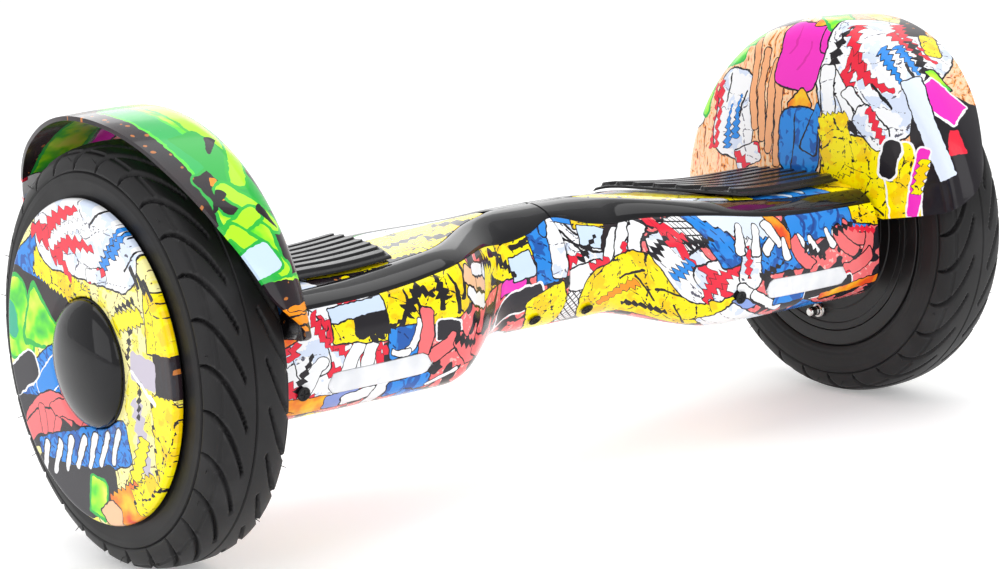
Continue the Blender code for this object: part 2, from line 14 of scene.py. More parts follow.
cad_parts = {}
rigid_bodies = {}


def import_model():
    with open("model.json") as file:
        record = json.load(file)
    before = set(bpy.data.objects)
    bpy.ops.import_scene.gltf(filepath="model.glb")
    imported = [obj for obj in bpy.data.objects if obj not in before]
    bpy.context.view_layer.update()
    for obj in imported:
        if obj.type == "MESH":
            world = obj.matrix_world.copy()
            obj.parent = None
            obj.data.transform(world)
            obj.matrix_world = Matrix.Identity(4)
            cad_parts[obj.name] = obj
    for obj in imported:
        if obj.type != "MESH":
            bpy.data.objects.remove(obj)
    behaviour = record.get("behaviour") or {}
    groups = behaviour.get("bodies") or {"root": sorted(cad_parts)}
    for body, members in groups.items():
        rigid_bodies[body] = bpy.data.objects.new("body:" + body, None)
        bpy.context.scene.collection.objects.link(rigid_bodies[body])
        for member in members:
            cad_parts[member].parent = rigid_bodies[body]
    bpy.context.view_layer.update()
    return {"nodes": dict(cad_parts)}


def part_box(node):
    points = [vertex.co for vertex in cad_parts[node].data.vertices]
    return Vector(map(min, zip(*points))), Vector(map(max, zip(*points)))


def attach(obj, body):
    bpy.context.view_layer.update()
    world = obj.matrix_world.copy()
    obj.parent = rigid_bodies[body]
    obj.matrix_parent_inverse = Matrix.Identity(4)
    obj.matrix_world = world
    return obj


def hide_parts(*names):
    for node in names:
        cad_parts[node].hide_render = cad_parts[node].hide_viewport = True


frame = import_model()
SIDES = (("left", -1), ("right", 1))

# ------------------------------------------------------------------ dimensions, from the frame
TYRE_LOW, TYRE_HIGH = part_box("right_tyre")
TRACK_HALF = (TYRE_LOW[0] + TYRE_HIGH[0]) / 2
TYRE_RADIUS = (TYRE_HIGH[2] - TYRE_LOW[2]) / 2
AXLE_Z = TYRE_LOW[2] + TYRE_RADIUS
DISC_LOW, DISC_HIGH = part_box("right_hub_cover")
DISC_RADIUS = (DISC_HIGH[2] - DISC_LOW[2]) / 2
DISC_FACE_X = DISC_HIGH[0]
CAP_LOW, CAP_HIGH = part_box("right_centre_cap")
CAP_RADIUS = (CAP_HIGH[2] - CAP_LOW[2]) / 2
CAP_APEX_X = CAP_HIGH[0]
BODY_INNER_X, BODY_OUTER_X = (corner[0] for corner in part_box("right_lower_shell"))
PAD_OUTER_X, PAD_HALF_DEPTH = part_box("right_footpad")[1][:2]
SOCKET = [(a + b) / 2 for a, b in zip(*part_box("charge_socket"))]
BUTTON = [(a + b) / 2 for a, b in zip(*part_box("power_button"))]

GAP = 0.0003                    # between a piece and the one it is set into
WALL = 0.0026                   # of the shells and the mudguards
HALF_DEPTH = (0.040, 0.076)     # each pair is at the neck in the middle, and at the foot beside the wheel
TOP_Z = (0.176, 0.162)
BOTTOM_Z = (0.095, 0.079)
NECK_TO_FOOT_X = (0.045, 0.120)
TOP_FALL_X = (0.020, 0.190)
SQUARENESS = 1.6                # added to an ellipse's power of 2 at the foot
BELLY_FLAT = 0.0012
NOSE_X = 0.040
EDGE_GAP = math.radians(0.55)   # between the trim and each shell
OPENING_X = (0.139, 0.216)      # of the light strip, and of the sensors under the pad
LENS_ANGLES = (math.radians(94.0), math.radians(110.0))

FENDER_CROWN = 0.148            # radii from the axle
FENDER_LIP = 0.1465
FENDER_HUB = 0.030
FENDER_CORNER = 0.018
FENDER_CORNER_CENTRE = (0.280, 0.1275)
FENDER_END = (68.0, 82.0)       # degrees from the top over which each end rounds off
FENDER_END_SHARE = 0.70         # of the profile that is left at the very end
FENDER_LEAN = 0.0040            # of the inner wall towards the wheel
# (degrees from the top, x of the lip), then (x, degrees from the body's top) of the trim's two edges
LIP_X = [(0.0, 0.3275), (30.0, 0.3200), (50.0, 0.3080), (62.0, 0.2970), (70.0, 0.2900), (81.0, 0.2830)]
TRIM_UPPER = [(0.030, 0.0), (0.045, 8.0), (0.060, 13.0), (0.100, 20.0), (0.150, 22.0),
              (0.200, 30.0), (0.250, 34.0)]
TRIM_LOWER = [(0.000, 34.0), (0.025, 48.0), (0.045, 52.0), (0.070, 49.0), (0.100, 49.0),
              (0.150, 54.0), (0.200, 57.0), (0.250, 58.0)]


# ------------------------------------------------------------------ curves that shape the body
def ease(value, low, high):
    """Smooth step from 0 at low to 1 at high."""
    t = min(max((value - low) / (high - low), 0.0), 1.0)
    return t * t * (3.0 - 2.0 * t)


def through(points, value):
    """Smooth curve through (x, y) points, flat in slope where the run turns round."""
    xs = [p[0] for p in points]
    ys = [p[1] for p in points]
    value = min(max(value, xs[0]), xs[-1])
    i = max(k for k in range(len(xs) - 1) if xs[k] <= value)

    def slope(k):
        if k in (0, len(xs) - 1):
            return 0.0
        before = (ys[k] - ys[k - 1]) / (xs[k] - xs[k - 1])
        after = (ys[k + 1] - ys[k]) / (xs[k + 1] - xs[k])
        return 0.0 if before * after <= 0 else 2.0 * before * after / (before + after)

    width = xs[i + 1] - xs[i]
    t = (value - xs[i]) / width
    h00 = 2 * t ** 3 - 3 * t ** 2 + 1
    h10 = t ** 3 - 2 * t ** 2 + t
    return (h00 * ys[i] + h10 * width * slope(i) + (1 - h00) * ys[i + 1]
            + (t ** 3 - t ** 2) * width * slope(i + 1))


def body_size(x):
    """How much of a foot the body is at x, from 0 to 1, and its half depth, bottom and top there."""
    foot = ease(x, *NECK_TO_FOOT_X)
    half_depth = HALF_DEPTH[0] + (HALF_DEPTH[1] - HALF_DEPTH[0]) * foot
    bottom = BOTTOM_Z[0] + (BOTTOM_Z[1] - BOTTOM_Z[0]) * foot
    return foot, half_depth, bottom, TOP_Z[0] + (TOP_Z[1] - TOP_Z[0]) * ease(x, *TOP_FALL_X)


def section(x, angle, inset=0.0):
    """Point (y, z) of the body's section at x. Angle 0 is the top and 90 degrees is the front."""
    foot, half_depth, bottom, top = body_size(x)
    half_height = (top - bottom) / 2 - inset
    power = 2.0 / (2.0 + SQUARENESS * foot)
    s, c = math.sin(angle), math.cos(angle)
    y = -(half_depth - inset) * math.copysign(abs(s) ** power, s)
    z = (top + bottom) / 2 + half_height * math.copysign(abs(c) ** power, c)
    return y, max(z, bottom + inset + BELLY_FLAT * foot)


def trim_edges(x):
    """Angles of the black trim's upper and lower edges at x."""
    return math.radians(through(TRIM_UPPER, x)), math.radians(through(TRIM_LOWER, x))


def deck(x, y):
    """Height of the upper shell over (x, y)."""
    foot, half_depth, bottom, top = body_size(x)
    power = 2.0 + SQUARENESS * foot
    middle = (top + bottom) / 2
    return middle + (top - middle) * (1 - abs(y / half_depth) ** power) ** (1 / power)


def girth(x, angle):
    """Length along the section from its top to the angle, positive over the front."""
    steps = 40
    ring = np.array([section(x, angle * k / steps) for k in range(steps + 1)])
    return math.copysign(np.linalg.norm(np.diff(ring, axis=0), axis=1).sum(), angle)


# ------------------------------------------------------------------ mesh helpers
def sheet(outer, inner, charts, keep=None):
    """Closed solid between two grids of points. charts holds each point's place on the print."""
    rows, columns = len(outer), len(outer[0])
    points = [p for row in outer for p in row]
    verts = points + [p for row in inner for p in row]
    places = [c for row in charts for c in row] * 2
    base = rows * columns
    first = {}
    same = [first.setdefault(tuple(round(c, 6) for c in p), k) for k, p in enumerate(points)]
    cells = []
    for i in range(rows - 1):
        for j in range(columns - 1):
            if keep is None or keep(i, j):
                corners = (i * columns + j, i * columns + j + 1,
                           (i + 1) * columns + j + 1, (i + 1) * columns + j)
                cells.append(tuple(dict.fromkeys(same[c] for c in corners)))
    faces = list(cells) + [tuple(base + v for v in reversed(c)) for c in cells]
    directed = {(c[k], c[(k + 1) % len(c)]) for c in cells for k in range(len(c))}
    faces += [(b, a, base + a, base + b) for a, b in sorted(directed) if (b, a) not in directed]
    return verts, faces, places


def lathe(profile, segments, closed=True):
    """Solid of revolution about X through the axle. The profile holds (x, radius) points."""
    verts, rings = [], []
    for x, radius in profile:
        if radius < 1e-7:
            rings.append([len(verts)] * segments)
            verts.append((x, 0.0, AXLE_Z))
        else:
            rings.append([len(verts) + k for k in range(segments)])
            verts += [(x, radius * math.sin(2 * math.pi * k / segments),
                       AXLE_Z + radius * math.cos(2 * math.pi * k / segments)) for k in range(segments)]
    faces = []
    for i in range(len(rings) if closed else len(rings) - 1):
        a, b = rings[i], rings[(i + 1) % len(rings)]
        for k in range(segments):
            n = (k + 1) % segments
            corners = list(dict.fromkeys((a[k], a[n], b[n], b[k])))
            if len(corners) > 2:
                faces.append(tuple(corners))
    return verts, faces, None


def filleted(profile, radius, steps=4, closed=True):
    """A profile with its corners rounded to at most the radius."""
    points = [np.array(p, float) for p in profile]
    result = []
    count = len(points)
    for k, corner in enumerate(points):
        if not closed and k in (0, count - 1):
            result.append(tuple(corner))
            continue
        before, after = points[k - 1] - corner, points[(k + 1) % count] - corner
        reach = min(radius, 0.45 * np.linalg.norm(before), 0.45 * np.linalg.norm(after))
        start = corner + before / np.linalg.norm(before) * reach
        end = corner + after / np.linalg.norm(after) * reach
        for i in range(steps + 1):
            t = i / steps
            result.append(tuple((1 - t) ** 2 * start + 2 * t * (1 - t) * corner + t * t * end))
    return result


def turned_to_y(shape, x, z):
    """Turns a lathed shape from the axle line to a line along Y at (x, z)."""
    verts, faces, charts = shape
    return [(x - v[1], v[0], z + v[2] - AXLE_Z) for v in verts], faces, charts


def make(name, shape, material, side=1, bevel=0.0, smooth=40.0):
    """Adds a piece. The shape is given for the right half."""
    verts, faces, charts = shape
    mesh = bpy.data.meshes.new(name)
    mesh.from_pydata([(side * x, y, z) for x, y, z in verts], [], faces)
    if charts is not None:
        layer = mesh.uv_layers.new(name="print")
        for loop in mesh.loops:
            u, v = charts[loop.vertex_index]
            layer.data[loop.index].uv = (u, v)
    work = bmesh.new()
    work.from_mesh(mesh)
    bmesh.ops.remove_doubles(work, verts=work.verts, dist=1e-7)
    bmesh.ops.delete(work, geom=[v for v in work.verts if not v.link_faces], context="VERTS")
    bmesh.ops.recalc_face_normals(work, faces=work.faces)
    work.to_mesh(mesh)
    work.free()
    mesh.shade_smooth()
    mesh.set_sharp_from_angle(angle=math.radians(smooth))
    piece = bpy.data.objects.new(name, mesh)
    mesh.materials.append(material)
    bpy.context.scene.collection.objects.link(piece)
    if bevel:
        rounding = piece.modifiers.new("rounded_edges", "BEVEL")
        rounding.width = bevel
        rounding.segments = 2
        rounding.limit_method = "ANGLE"
        rounding.angle_limit = math.radians(50)
    return piece


def fit(piece, body, *nodes, slot=None):
    """The piece rides on its body and stands for those CAD nodes."""
    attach(piece, body)
    if nodes:
        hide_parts(*nodes)
    return piece


# ------------------------------------------------------------------ body shells
ROW_STEP = 0.0036
TINY = 1e-6
TRIM_PROUD = 0.0008
BELLY_EDGE = math.radians(138.0)
LENS_ROUND = (0.0085, 0.0055)   # corner radii of the light strip, at its inner and outer end
LENS_PROUD = 0.0006


def spread(marks, counts):
    """Evenly divided stretches between the marks."""
    values = [marks[0]]
    for low, high, count in zip(marks, marks[1:], counts):
        values += [low + (high - low) * (k + 1) / count for k in range(count)]
    return values


def body_rows(start):
    """X positions of a shell's rows, with the light strip's ends among them."""
    ends = [start, *OPENING_X, BODY_OUTER_X]
    return spread(ends, [round((high - low) / ROW_STEP) for low, high in zip(ends, ends[1:])])


def lens_edges(x):
    """Section angles of the light strip's upper and lower edge at x, which close in at its rounded ends."""
    x = min(max(x, OPENING_X[0]), OPENING_X[1])
    height = girth(x, LENS_ANGLES[1]) - girth(x, LENS_ANGLES[0])
    cut = 0.0
    for end, radius in zip((x - OPENING_X[0], OPENING_X[1] - x), LENS_ROUND):
        if end < radius:
            cut = max(cut, radius - math.sqrt(radius ** 2 - (radius - end) ** 2))
    share = cut / height * (LENS_ANGLES[1] - LENS_ANGLES[0])
    return LENS_ANGLES[0] + share, LENS_ANGLES[1] - share


def shell_grids(side, rows, angles_at, proud=lambda k: 0.0):
    """A band of the body: its outside, proud of the section, its inside and its place on the print."""
    outer, inner, charts = [], [], []
    for x in rows:
        angles = angles_at(x)
        outer.append([(x, *section(x, a, -proud(k))) for k, a in enumerate(angles)])
        inner.append([(x, *section(x, a, WALL)) for a in angles])
        charts.append([(side * x, girth(x, a)) for a in angles])
    return outer, inner, charts


def upper_shell(side):
    """Deck shell with its opening under the foot pad."""
    rows = body_rows(NOSE_X)
    steps, opening = 14, 0.36       # per third, and the opening's half width as a share of the shell's
    shares = spread([-1.0, -opening, opening, 1.0], [steps] * 3)

    def keep(i, j):
        return not (OPENING_X[0] <= rows[i] < OPENING_X[1] - TINY and steps <= j < 2 * steps)

    grids = shell_grids(side, rows, lambda x: [(trim_edges(x)[0] - EDGE_GAP) * share for share in shares])
    return sheet(*grids, keep)


def trim(side):
    """Glossy band along the front and the back, which joins over the neck, with rolled edges."""
    across = 12

    def angles(x):
        front = spread(trim_edges(x), [across])
        return [-a for a in reversed(front)] + front

    def proud(k):
        return TRIM_PROUD * math.sqrt(max(0.0, 1 - (2 * (k % (across + 1)) / across - 1) ** 6))

    grids = shell_grids(side, body_rows(BODY_INNER_X), angles, proud)
    return sheet(*grids, keep=lambda i, j: j != across)


def lower_shell(side):
    """Belly shell with a rounded end towards the wheel and an opening for the light strip."""
    rows = body_rows(BODY_INNER_X)
    end_rings = [(0.004, 0.0008), (0.02, 0.0), (0.30, 0.0), (0.62, 0.0)]    # closed in by, set back by
    counts = [16, 10, 14, 12]       # steps down to the light strip, over it, to the belly and to its middle

    def angles(x, shrink=0.0):
        low = trim_edges(x)[1] + EDGE_GAP + (math.radians(3.0) if shrink > 0.01 else 0.0)
        front = spread([low, *lens_edges(x), BELLY_EDGE, math.pi], counts)
        return front + [2 * math.pi - a for a in reversed(front[:-1])]

    def ring(x, inset, shrink, back=0.0):
        middle = (section(x, 0.0)[1] + section(x, math.pi)[1]) / 2
        return [(x - back, y * (1 - shrink), middle + (z - middle) * (1 - shrink))
                for y, z in (section(x, a, inset) for a in angles(x, shrink))]

    def chart(x, shrink):
        belly = girth(x, math.pi)
        return [(side * (x + 0.08 * shrink), belly - girth(x, a)) for a in angles(x, shrink)]

    outer = [ring(x, 0.0, 0.0) for x in rows] + [ring(BODY_OUTER_X, 0.0, *f) for f in end_rings]
    inner = [ring(min(x, BODY_OUTER_X - WALL), WALL, 0.0) for x in rows]
    inner += [[(BODY_OUTER_X - WALL, y, z) for _, y, z in ring(BODY_OUTER_X, WALL, shrink)]
              for shrink, _ in end_rings]
    charts = [chart(x, 0.0) for x in rows] + [chart(BODY_OUTER_X, f) for f, _ in end_rings]

    def keep(i, j):
        in_strip = counts[0] <= j < counts[0] + counts[1]
        return i >= len(rows) - 1 or not (in_strip and OPENING_X[0] <= rows[i] < OPENING_X[1] - TINY)

    return sheet(outer, inner, charts, keep)


def led_lens(side):
    """Frosted light strip with rounded ends, slightly proud of its opening."""
    slack = GAP / (OPENING_X[1] - OPENING_X[0])
    middle_x = (OPENING_X[0] + OPENING_X[1]) / 2
    across, edge = 12, 0.006        # steps over the lens, and its angle from the opening's edge
    crown = [LENS_PROUD * (1 - (2 * k / across - 1) ** 4) for k in range(across + 1)]
    outer, inner, charts = [], [], []
    for x in body_rows(BODY_INNER_X):
        if not OPENING_X[0] - TINY <= x <= OPENING_X[1] + TINY:
            continue
        low, high = lens_edges(x)
        own = middle_x + (x - middle_x) * (1 - 2 * slack)
        angles = spread([low + edge, high - edge], [across])
        outer.append([(own, *section(own, a, -h)) for a, h in zip(angles, crown)])
        inner.append([(own, *section(own, a, WALL)) for a in angles])
        charts.append([(side * x, girth(x, a)) for a in angles])
    return sheet(outer, inner, charts)


def plug(x, angle):
    """Screw plug in the belly shell: a shallow dome with a moulded ring and a cross slot."""
    step = 1e-4
    y, z = section(x, angle)
    (y1, z1), (y2, z2) = section(x, angle + step), section(x, angle - step)
    tangent = np.array([0.0, y1 - y2, z1 - z2])
    tangent /= np.linalg.norm(tangent)
    normal = np.array([0.0, tangent[2], -tangent[1]])
    normal *= math.copysign(1.0, normal[1] * y)
    along = np.cross(normal, tangent)
    rings = filleted([(0.0010, 0.0), (0.0010, 0.0044), (0.0018, 0.0044), (0.0023, 0.0034), (0.0016, 0.0028),
                      (0.0018, 0.0016), (0.0021, 0.0)], 0.0005, closed=False)
    verts, faces, _ = lathe(rings, 48, closed=False)
    placed = []
    for vx, vy, vz in verts:
        across, up = vy, vz - AXLE_Z
        slot = min(abs(across), abs(up)) < 0.0005 and math.hypot(across, up) < 0.0026 and vx > 0.0013
        placed.append(tuple(np.array([x, y, z]) + normal * (vx - (0.0005 if slot else 0.0))
                            + tangent * across + along * up))
    return placed, faces, None


# ------------------------------------------------------------------ fender
def fender(polar):
    """Mudguard: its inner wall turns over the crown to a lip with a rolled edge.

    A polar chart runs round the wheel at the crown's radius, and a plain one is the wall seen flat.
    """
    corner_x, corner_r = FENDER_CORNER_CENTRE

    def profile(angle, inset):
        lip = through(LIP_X, abs(math.degrees(angle)))
        radius = FENDER_CORNER - inset
        points = [(BODY_OUTER_X + GAP + inset + FENDER_LEAN * t, r)
                  for t, r in ((0.0, FENDER_HUB), (0.3, 0.050), (0.7, 0.070), (1.0, 0.085), (1.4, 0.105))]
        for a in np.radians(np.linspace(180, 90, 12)):
            points.append((corner_x + radius * math.cos(a), corner_r + radius * math.sin(a)))
        for t in np.linspace(0.12, 1.0, 10):
            r = corner_r + FENDER_CORNER + (FENDER_LIP - FENDER_CROWN) * t ** 2.5
            points.append((corner_x + (lip - corner_x) * t, min(r, FENDER_CROWN) - inset))
        return points

    def share(angle):
        past = max(math.degrees(angle) - FENDER_END[0], 0.0) / (FENDER_END[1] - FENDER_END[0])
        return FENDER_END_SHARE + (1 - FENDER_END_SHARE) * math.sqrt(max(1 - past * past, 0.0))

    def place(points, angle):
        """Points of the profile over the share of its length that is left, and their lengths along it."""
        line = np.array(points)
        reach = np.concatenate([[0.0], np.cumsum(np.linalg.norm(np.diff(line, axis=0), axis=1))])
        kept = reach * share(abs(angle))
        xs, rs = np.interp(kept, reach, line[:, 0]), np.interp(kept, reach, line[:, 1])
        turned = [(x, -r * math.sin(angle), AXLE_Z + r * math.cos(angle)) for x, r in zip(xs, rs)]
        return turned, FENDER_HUB + kept

    start, end = FENDER_END
    rounding = np.sin(np.radians(np.linspace(0, 90, 25)))
    half = np.concatenate([np.linspace(0.0, start, 60), start + (end - start) * rounding[1:]])
    outer, inner, charts = [], [], []
    for angle in np.radians(np.concatenate([-half[:0:-1], half])):
        row, reach = place(profile(angle, 0.0), angle)
        outer.append(row)
        inner.append(place(profile(angle, WALL), angle)[0])
        if polar:
            charts.append([(FENDER_CROWN * angle, rho) for rho in reach])
        else:
            charts.append([(rho * math.sin(angle), rho * math.cos(angle)) for rho in reach])
    return sheet(outer, inner, charts)


# ------------------------------------------------------------------ foot pad
RIB_COUNT = 7
RIB_HEIGHT = 0.0024
RIB_WIDTH_SHARE = 0.68          # of the pitch
RIB_SETBACK = 0.0030
RIB_FILLET = 0.0011
PAD_ENDS = {-1: (0.142, 0.126), 1: (0.150, 0.092)}  # inner end's x at the front and the back, per side
PAD_LIFT = 0.0023
PAD_PLATE = 0.0020


def footpad(side):
    """Rubber pad with long raised ribs whose inner ends are rounded, over a thin plate."""
    front_x, back_x = PAD_ENDS[side]
    pitch = 2 * PAD_HALF_DEPTH / RIB_COUNT
    half_rib = RIB_WIDTH_SHARE / 2 * pitch

    def end_at(y):
        return back_x + (front_x - back_x) * ((1 - y / PAD_HALF_DEPTH) / 2) ** 2

    columns = np.concatenate([np.linspace(0, 0.16, 26), np.linspace(0.16, 0.95, 40)[1:],
                              np.linspace(0.95, 1, 8)[1:]])
    lines = np.linspace(-PAD_HALF_DEPTH, PAD_HALF_DEPTH, 211)
    top, bottom, charts = [], [], []
    for y in lines:
        rib = (math.floor((y + PAD_HALF_DEPTH) / pitch) + 0.5) * pitch - PAD_HALF_DEPTH
        rib = min(rib, PAD_HALF_DEPTH - pitch / 2)
        from_rib = abs(y - rib)
        rib_nose = end_at(rib) + RIB_SETBACK
        nose = end_at(y)
        top_row, bottom_row = [], []
        for share in columns:
            x = nose + (PAD_OUTER_X - nose) * share
            short = max(0.0, rib_nose + half_rib - x)
            past = max(0.0, x - (PAD_OUTER_X - half_rib - 0.0008))
            distance = half_rib - math.hypot(from_rib, max(short, past))
            height = RIB_HEIGHT * ease(distance, 0.0, RIB_FILLET)
            from_edge = min(x - nose, PAD_OUTER_X - x, PAD_HALF_DEPTH - abs(y))
            fall = 0.0010 * (1 - ease(from_edge, 0.0, 0.0012))
            base = deck(x, y) + PAD_LIFT
            top_row.append((x, y, base + PAD_PLATE - fall + height))
            bottom_row.append((x, y, base))
        top.append(top_row)
        bottom.append(bottom_row)
        charts.append([(x, y) for x, _, _ in top_row])
    return sheet(top, bottom, charts)


# ------------------------------------------------------------------ wheel pieces
TREAD_REPEATS = 28
STEPS_PER_REPEAT = 28


def cut_corners(points, rounds=4):
    """Chaikin's smoothing of an open line."""
    for _ in range(rounds):
        smooth = [points[0]]
        for (x0, r0), (x1, r1) in zip(points, points[1:]):
            smooth += [(0.75 * x0 + 0.25 * x1, 0.75 * r0 + 0.25 * r1),
                       (0.25 * x0 + 0.75 * x1, 0.25 * r0 + 0.75 * r1)]
        points = smooth + [points[-1]]
    return points


def tread_depth(across, along, pitch):
    """How deep the tread is cut, at metres across from its middle and along the tyre's circumference."""
    half = np.abs(across)
    phase = (along * np.where(across < 0, -1.0, 1.0) + pitch * 0.5 * (across > 0)) % pitch
    shoulder, tip, sweep, power = 0.034, 0.0075, 0.040, 2.1
    share = np.clip((shoulder - half) / (shoulder - tip), 0.0, 1.0)
    reach = sweep * share ** power
    slope = sweep * power * share ** (power - 1) / (shoulder - tip)
    width = 0.0006 + 0.0006 * np.sin(math.pi * share) ** 0.8
    beyond = np.maximum(tip - half, 0.0)
    depth = np.zeros_like(across)
    for turn in range(-2, 3):
        distance = np.hypot(np.abs(phase + pitch * turn - reach) / np.sqrt(1 + slope ** 2), beyond)
        depth = np.maximum(depth, 0.0026 * np.clip(1.5 - distance / width, 0.0, 1.0) * (half < shoulder))
    block = ((phase - sweep * 0.16) % pitch) / pitch
    sipe = np.clip(1.5 - np.abs(half - 0.0225) / 0.00055, 0.0, 1.0) * ((block > 0.12) & (block < 0.88))
    middle = np.clip(1.5 - np.abs(across - 0.0012) / 0.00045, 0.0, 1.0)
    rings = np.clip(1.5 - np.abs(half - 0.0352) / 0.0005, 0.0, 1.0)
    return np.maximum.reduce([depth, 0.0014 * sipe, 0.0012 * middle, 0.0012 * rings])


def tyre():
    """Tyre with a smooth sidewall, rim lines and curved grooves cut into its tread."""
    half = [(0.0, 0.1272), (0.0150, 0.1262), (0.0243, 0.1222), (0.0290, 0.1080), (0.0272, 0.0925),
            (0.0244, 0.0909)]
    line = np.array(cut_corners([(-x, r) for x, r in reversed(half)] + half[1:]))
    reach = np.concatenate([[0.0], np.cumsum(np.linalg.norm(np.diff(line, axis=0), axis=1))])
    even = np.linspace(0.0, reach[-1], 121)
    xs, rs = np.interp(even, reach, line[:, 0]), np.interp(even, reach, line[:, 1])
    across = even - reach[-1] / 2
    normal_x, normal_r = np.gradient(rs, even), -np.gradient(xs, even)
    count = TREAD_REPEATS * STEPS_PER_REPEAT
    turn = 2 * math.pi * np.arange(count) / count
    pitch = 2 * math.pi * TYRE_RADIUS / TREAD_REPEATS
    depth = tread_depth(*np.meshgrid(across, turn * TYRE_RADIUS, indexing="ij"), pitch)
    side_ring = sum(np.exp(-((rs - r) / 0.0004) ** 2) for r in (0.0945, 0.0985, 0.1065)) * 0.00035
    side_ring = side_ring * (np.abs(across) > 0.036)
    depth = depth - side_ring[:, None]
    x = xs[:, None] + normal_x[:, None] * depth
    r = np.minimum(rs[:, None] + normal_r[:, None] * depth, TYRE_RADIUS)
    bead = [(0.0244, 0.0872), (-0.0244, 0.0872)]
    verts = []
    for i in range(len(xs)):
        verts += list(zip(TRACK_HALF + x[i], -r[i] * np.sin(turn), AXLE_Z + r[i] * np.cos(turn)))
    for bx, br in bead:
        verts += list(zip(np.full(count, TRACK_HALF + bx), -br * np.sin(turn), AXLE_Z + br * np.cos(turn)))
    rows = len(xs) + len(bead)
    faces = [(i * count + k, i * count + (k + 1) % count, (i + 1) % rows * count + (k + 1) % count,
              (i + 1) % rows * count + k) for i in range(rows) for k in range(count)]
    return verts, faces, None


def vent_hairs(side):
    """Short rubber hairs that moulding leaves on the shoulders of a new tyre."""
    verts, faces = [], []
    radius_at_root, sides = 0.1185, 6
    for k in range(30):
        angle = math.radians(12 * k + 7 * math.sin(5 * k))
        out = 0.0262 if k % 2 else -0.0262
        root = np.array([TRACK_HALF + out, -radius_at_root * math.sin(angle),
                         AXLE_Z + radius_at_root * math.cos(angle)])
        lean = np.array([0.6 * math.copysign(1, out), -0.8 * math.sin(angle), 0.8 * math.cos(angle)])
        lean /= np.linalg.norm(lean)
        beside = np.cross(lean, (1, 0, 0))
        third = np.cross(lean, beside)
        base = len(verts)
        for height, radius in ((-0.001, 0.00035), (0.0012, 0.0003), (0.0026, 0.00015)):
            for a in np.radians(np.arange(sides) * 360 / sides):
                offset = (beside * math.cos(a) + third * math.sin(a)) * radius
                verts.append(tuple(root + lean * height + offset))
        for ring in (base, base + sides):
            for step in range(sides):
                n = (step + 1) % sides
                faces.append((ring + step, ring + n, ring + sides + n, ring + sides + step))
        root_end = range(base, base + sides)
        tip_end = range(base + 2 * sides, base + 3 * sides)
        faces += [tuple(root_end), tuple(reversed(tip_end))]
    return verts, faces, None


def rim():
    """Motor drum with stepped bead flanges and a ringed outer plate."""
    profile = [(0.2700, 0.0800), (0.2700, 0.0905), (0.2720, 0.0905), (0.2728, 0.0868), (0.3206, 0.0868),
               (0.3214, 0.0905), (0.3236, 0.0905), (0.3236, 0.0161), (0.3130, 0.0161), (0.3190, 0.0260),
               (0.3190, 0.0800)]
    return lathe(filleted(profile, 0.0008), 192)


def motor_cover():
    """Inner cover of the motor: concentric steps and shallow ribs round the bearing boss."""
    profile = [(0.2680, 0.0161), (0.2680, 0.0220), (0.2700, 0.0290), (0.2694, 0.0300), (0.2694, 0.0370),
               (0.2705, 0.0380), (0.2705, 0.0560), (0.2697, 0.0568), (0.2697, 0.0640), (0.2706, 0.0648),
               (0.2706, 0.0740), (0.2700, 0.0746), (0.2700, 0.0796), (0.2745, 0.0796), (0.2775, 0.0161)]
    return lathe(filleted(profile, 0.0005, 3), 192)


def hub_cover(side):
    """Printed wheel disc with a rolled rim."""
    profile = [(0.3240, CAP_RADIUS + 0.0006), (0.3240, 0.0500), (0.3264, 0.0560), (0.3264, DISC_RADIUS),
               (0.3300, DISC_RADIUS), (DISC_FACE_X - 0.0002, 0.0952), (DISC_FACE_X, 0.0935),
               (0.3322, 0.0700), (0.3316, 0.0460), (0.3304, CAP_RADIUS + 0.0012),
               (0.3292, CAP_RADIUS + 0.0006)]
    verts, faces, _ = lathe(filleted(profile, 0.0012), 256)
    return verts, faces, [(side * y, z - AXLE_Z) for _, y, z in verts]


def centre_cap():
    """Domed gloss cap over the axle end, with a fine step at its edge."""
    base_x, wall = 0.3300, 0.0025
    rise = CAP_APEX_X - base_x
    arc = [(base_x + rise * math.sin(a), CAP_RADIUS * math.cos(a))
           for a in np.radians(np.linspace(4, 90, 30))]
    hollow = [(base_x + (rise - wall) * math.sin(a), (CAP_RADIUS - wall) * math.cos(a))
              for a in np.radians(np.linspace(90, 0, 8))]
    profile = [(0.3245, CAP_RADIUS - 0.0003), (0.3296, CAP_RADIUS), (0.3302, CAP_RADIUS - 0.0006)]
    return lathe(profile + arc[1:] + hollow + [(0.3245, CAP_RADIUS - wall)], 192)


def valve():
    """Stub of the valve with a knurled chrome ring and a screwed cap."""
    profile = [(0.2700, 0.0), (0.2700, 0.0050), (0.2686, 0.0050), (0.2680, 0.0044), (0.2672, 0.0050),
               (0.2668, 0.0036), (0.2650, 0.0034), (0.2644, 0.0030), (0.2638, 0.0034), (0.2600, 0.0034),
               (0.2590, 0.0030), (0.2584, 0.0022), (0.2584, 0.0)]
    verts, faces, _ = lathe(filleted(profile, 0.0003, 3, closed=False), 48, closed=False)
    return [(x, y + 0.006, z - 0.066) for x, y, z in verts], faces, None


# ------------------------------------------------------------------ charging socket and power button
def charge_socket():
    """Round three-pin socket: a threaded collar round a deep recess."""
    profile = [(0.0620, 0.0), (0.0620, 0.0090), (0.0766, 0.0090), (0.0768, 0.0115), (0.0780, 0.0115),
               (0.0784, 0.0108), (0.0784, 0.0072), (0.0778, 0.0068), (0.0680, 0.0068), (0.0680, 0.0)]
    shape = lathe(filleted(profile, 0.0004, 3, closed=False), 96, closed=False)
    return turned_to_y(shape, SOCKET[0], SOCKET[2])


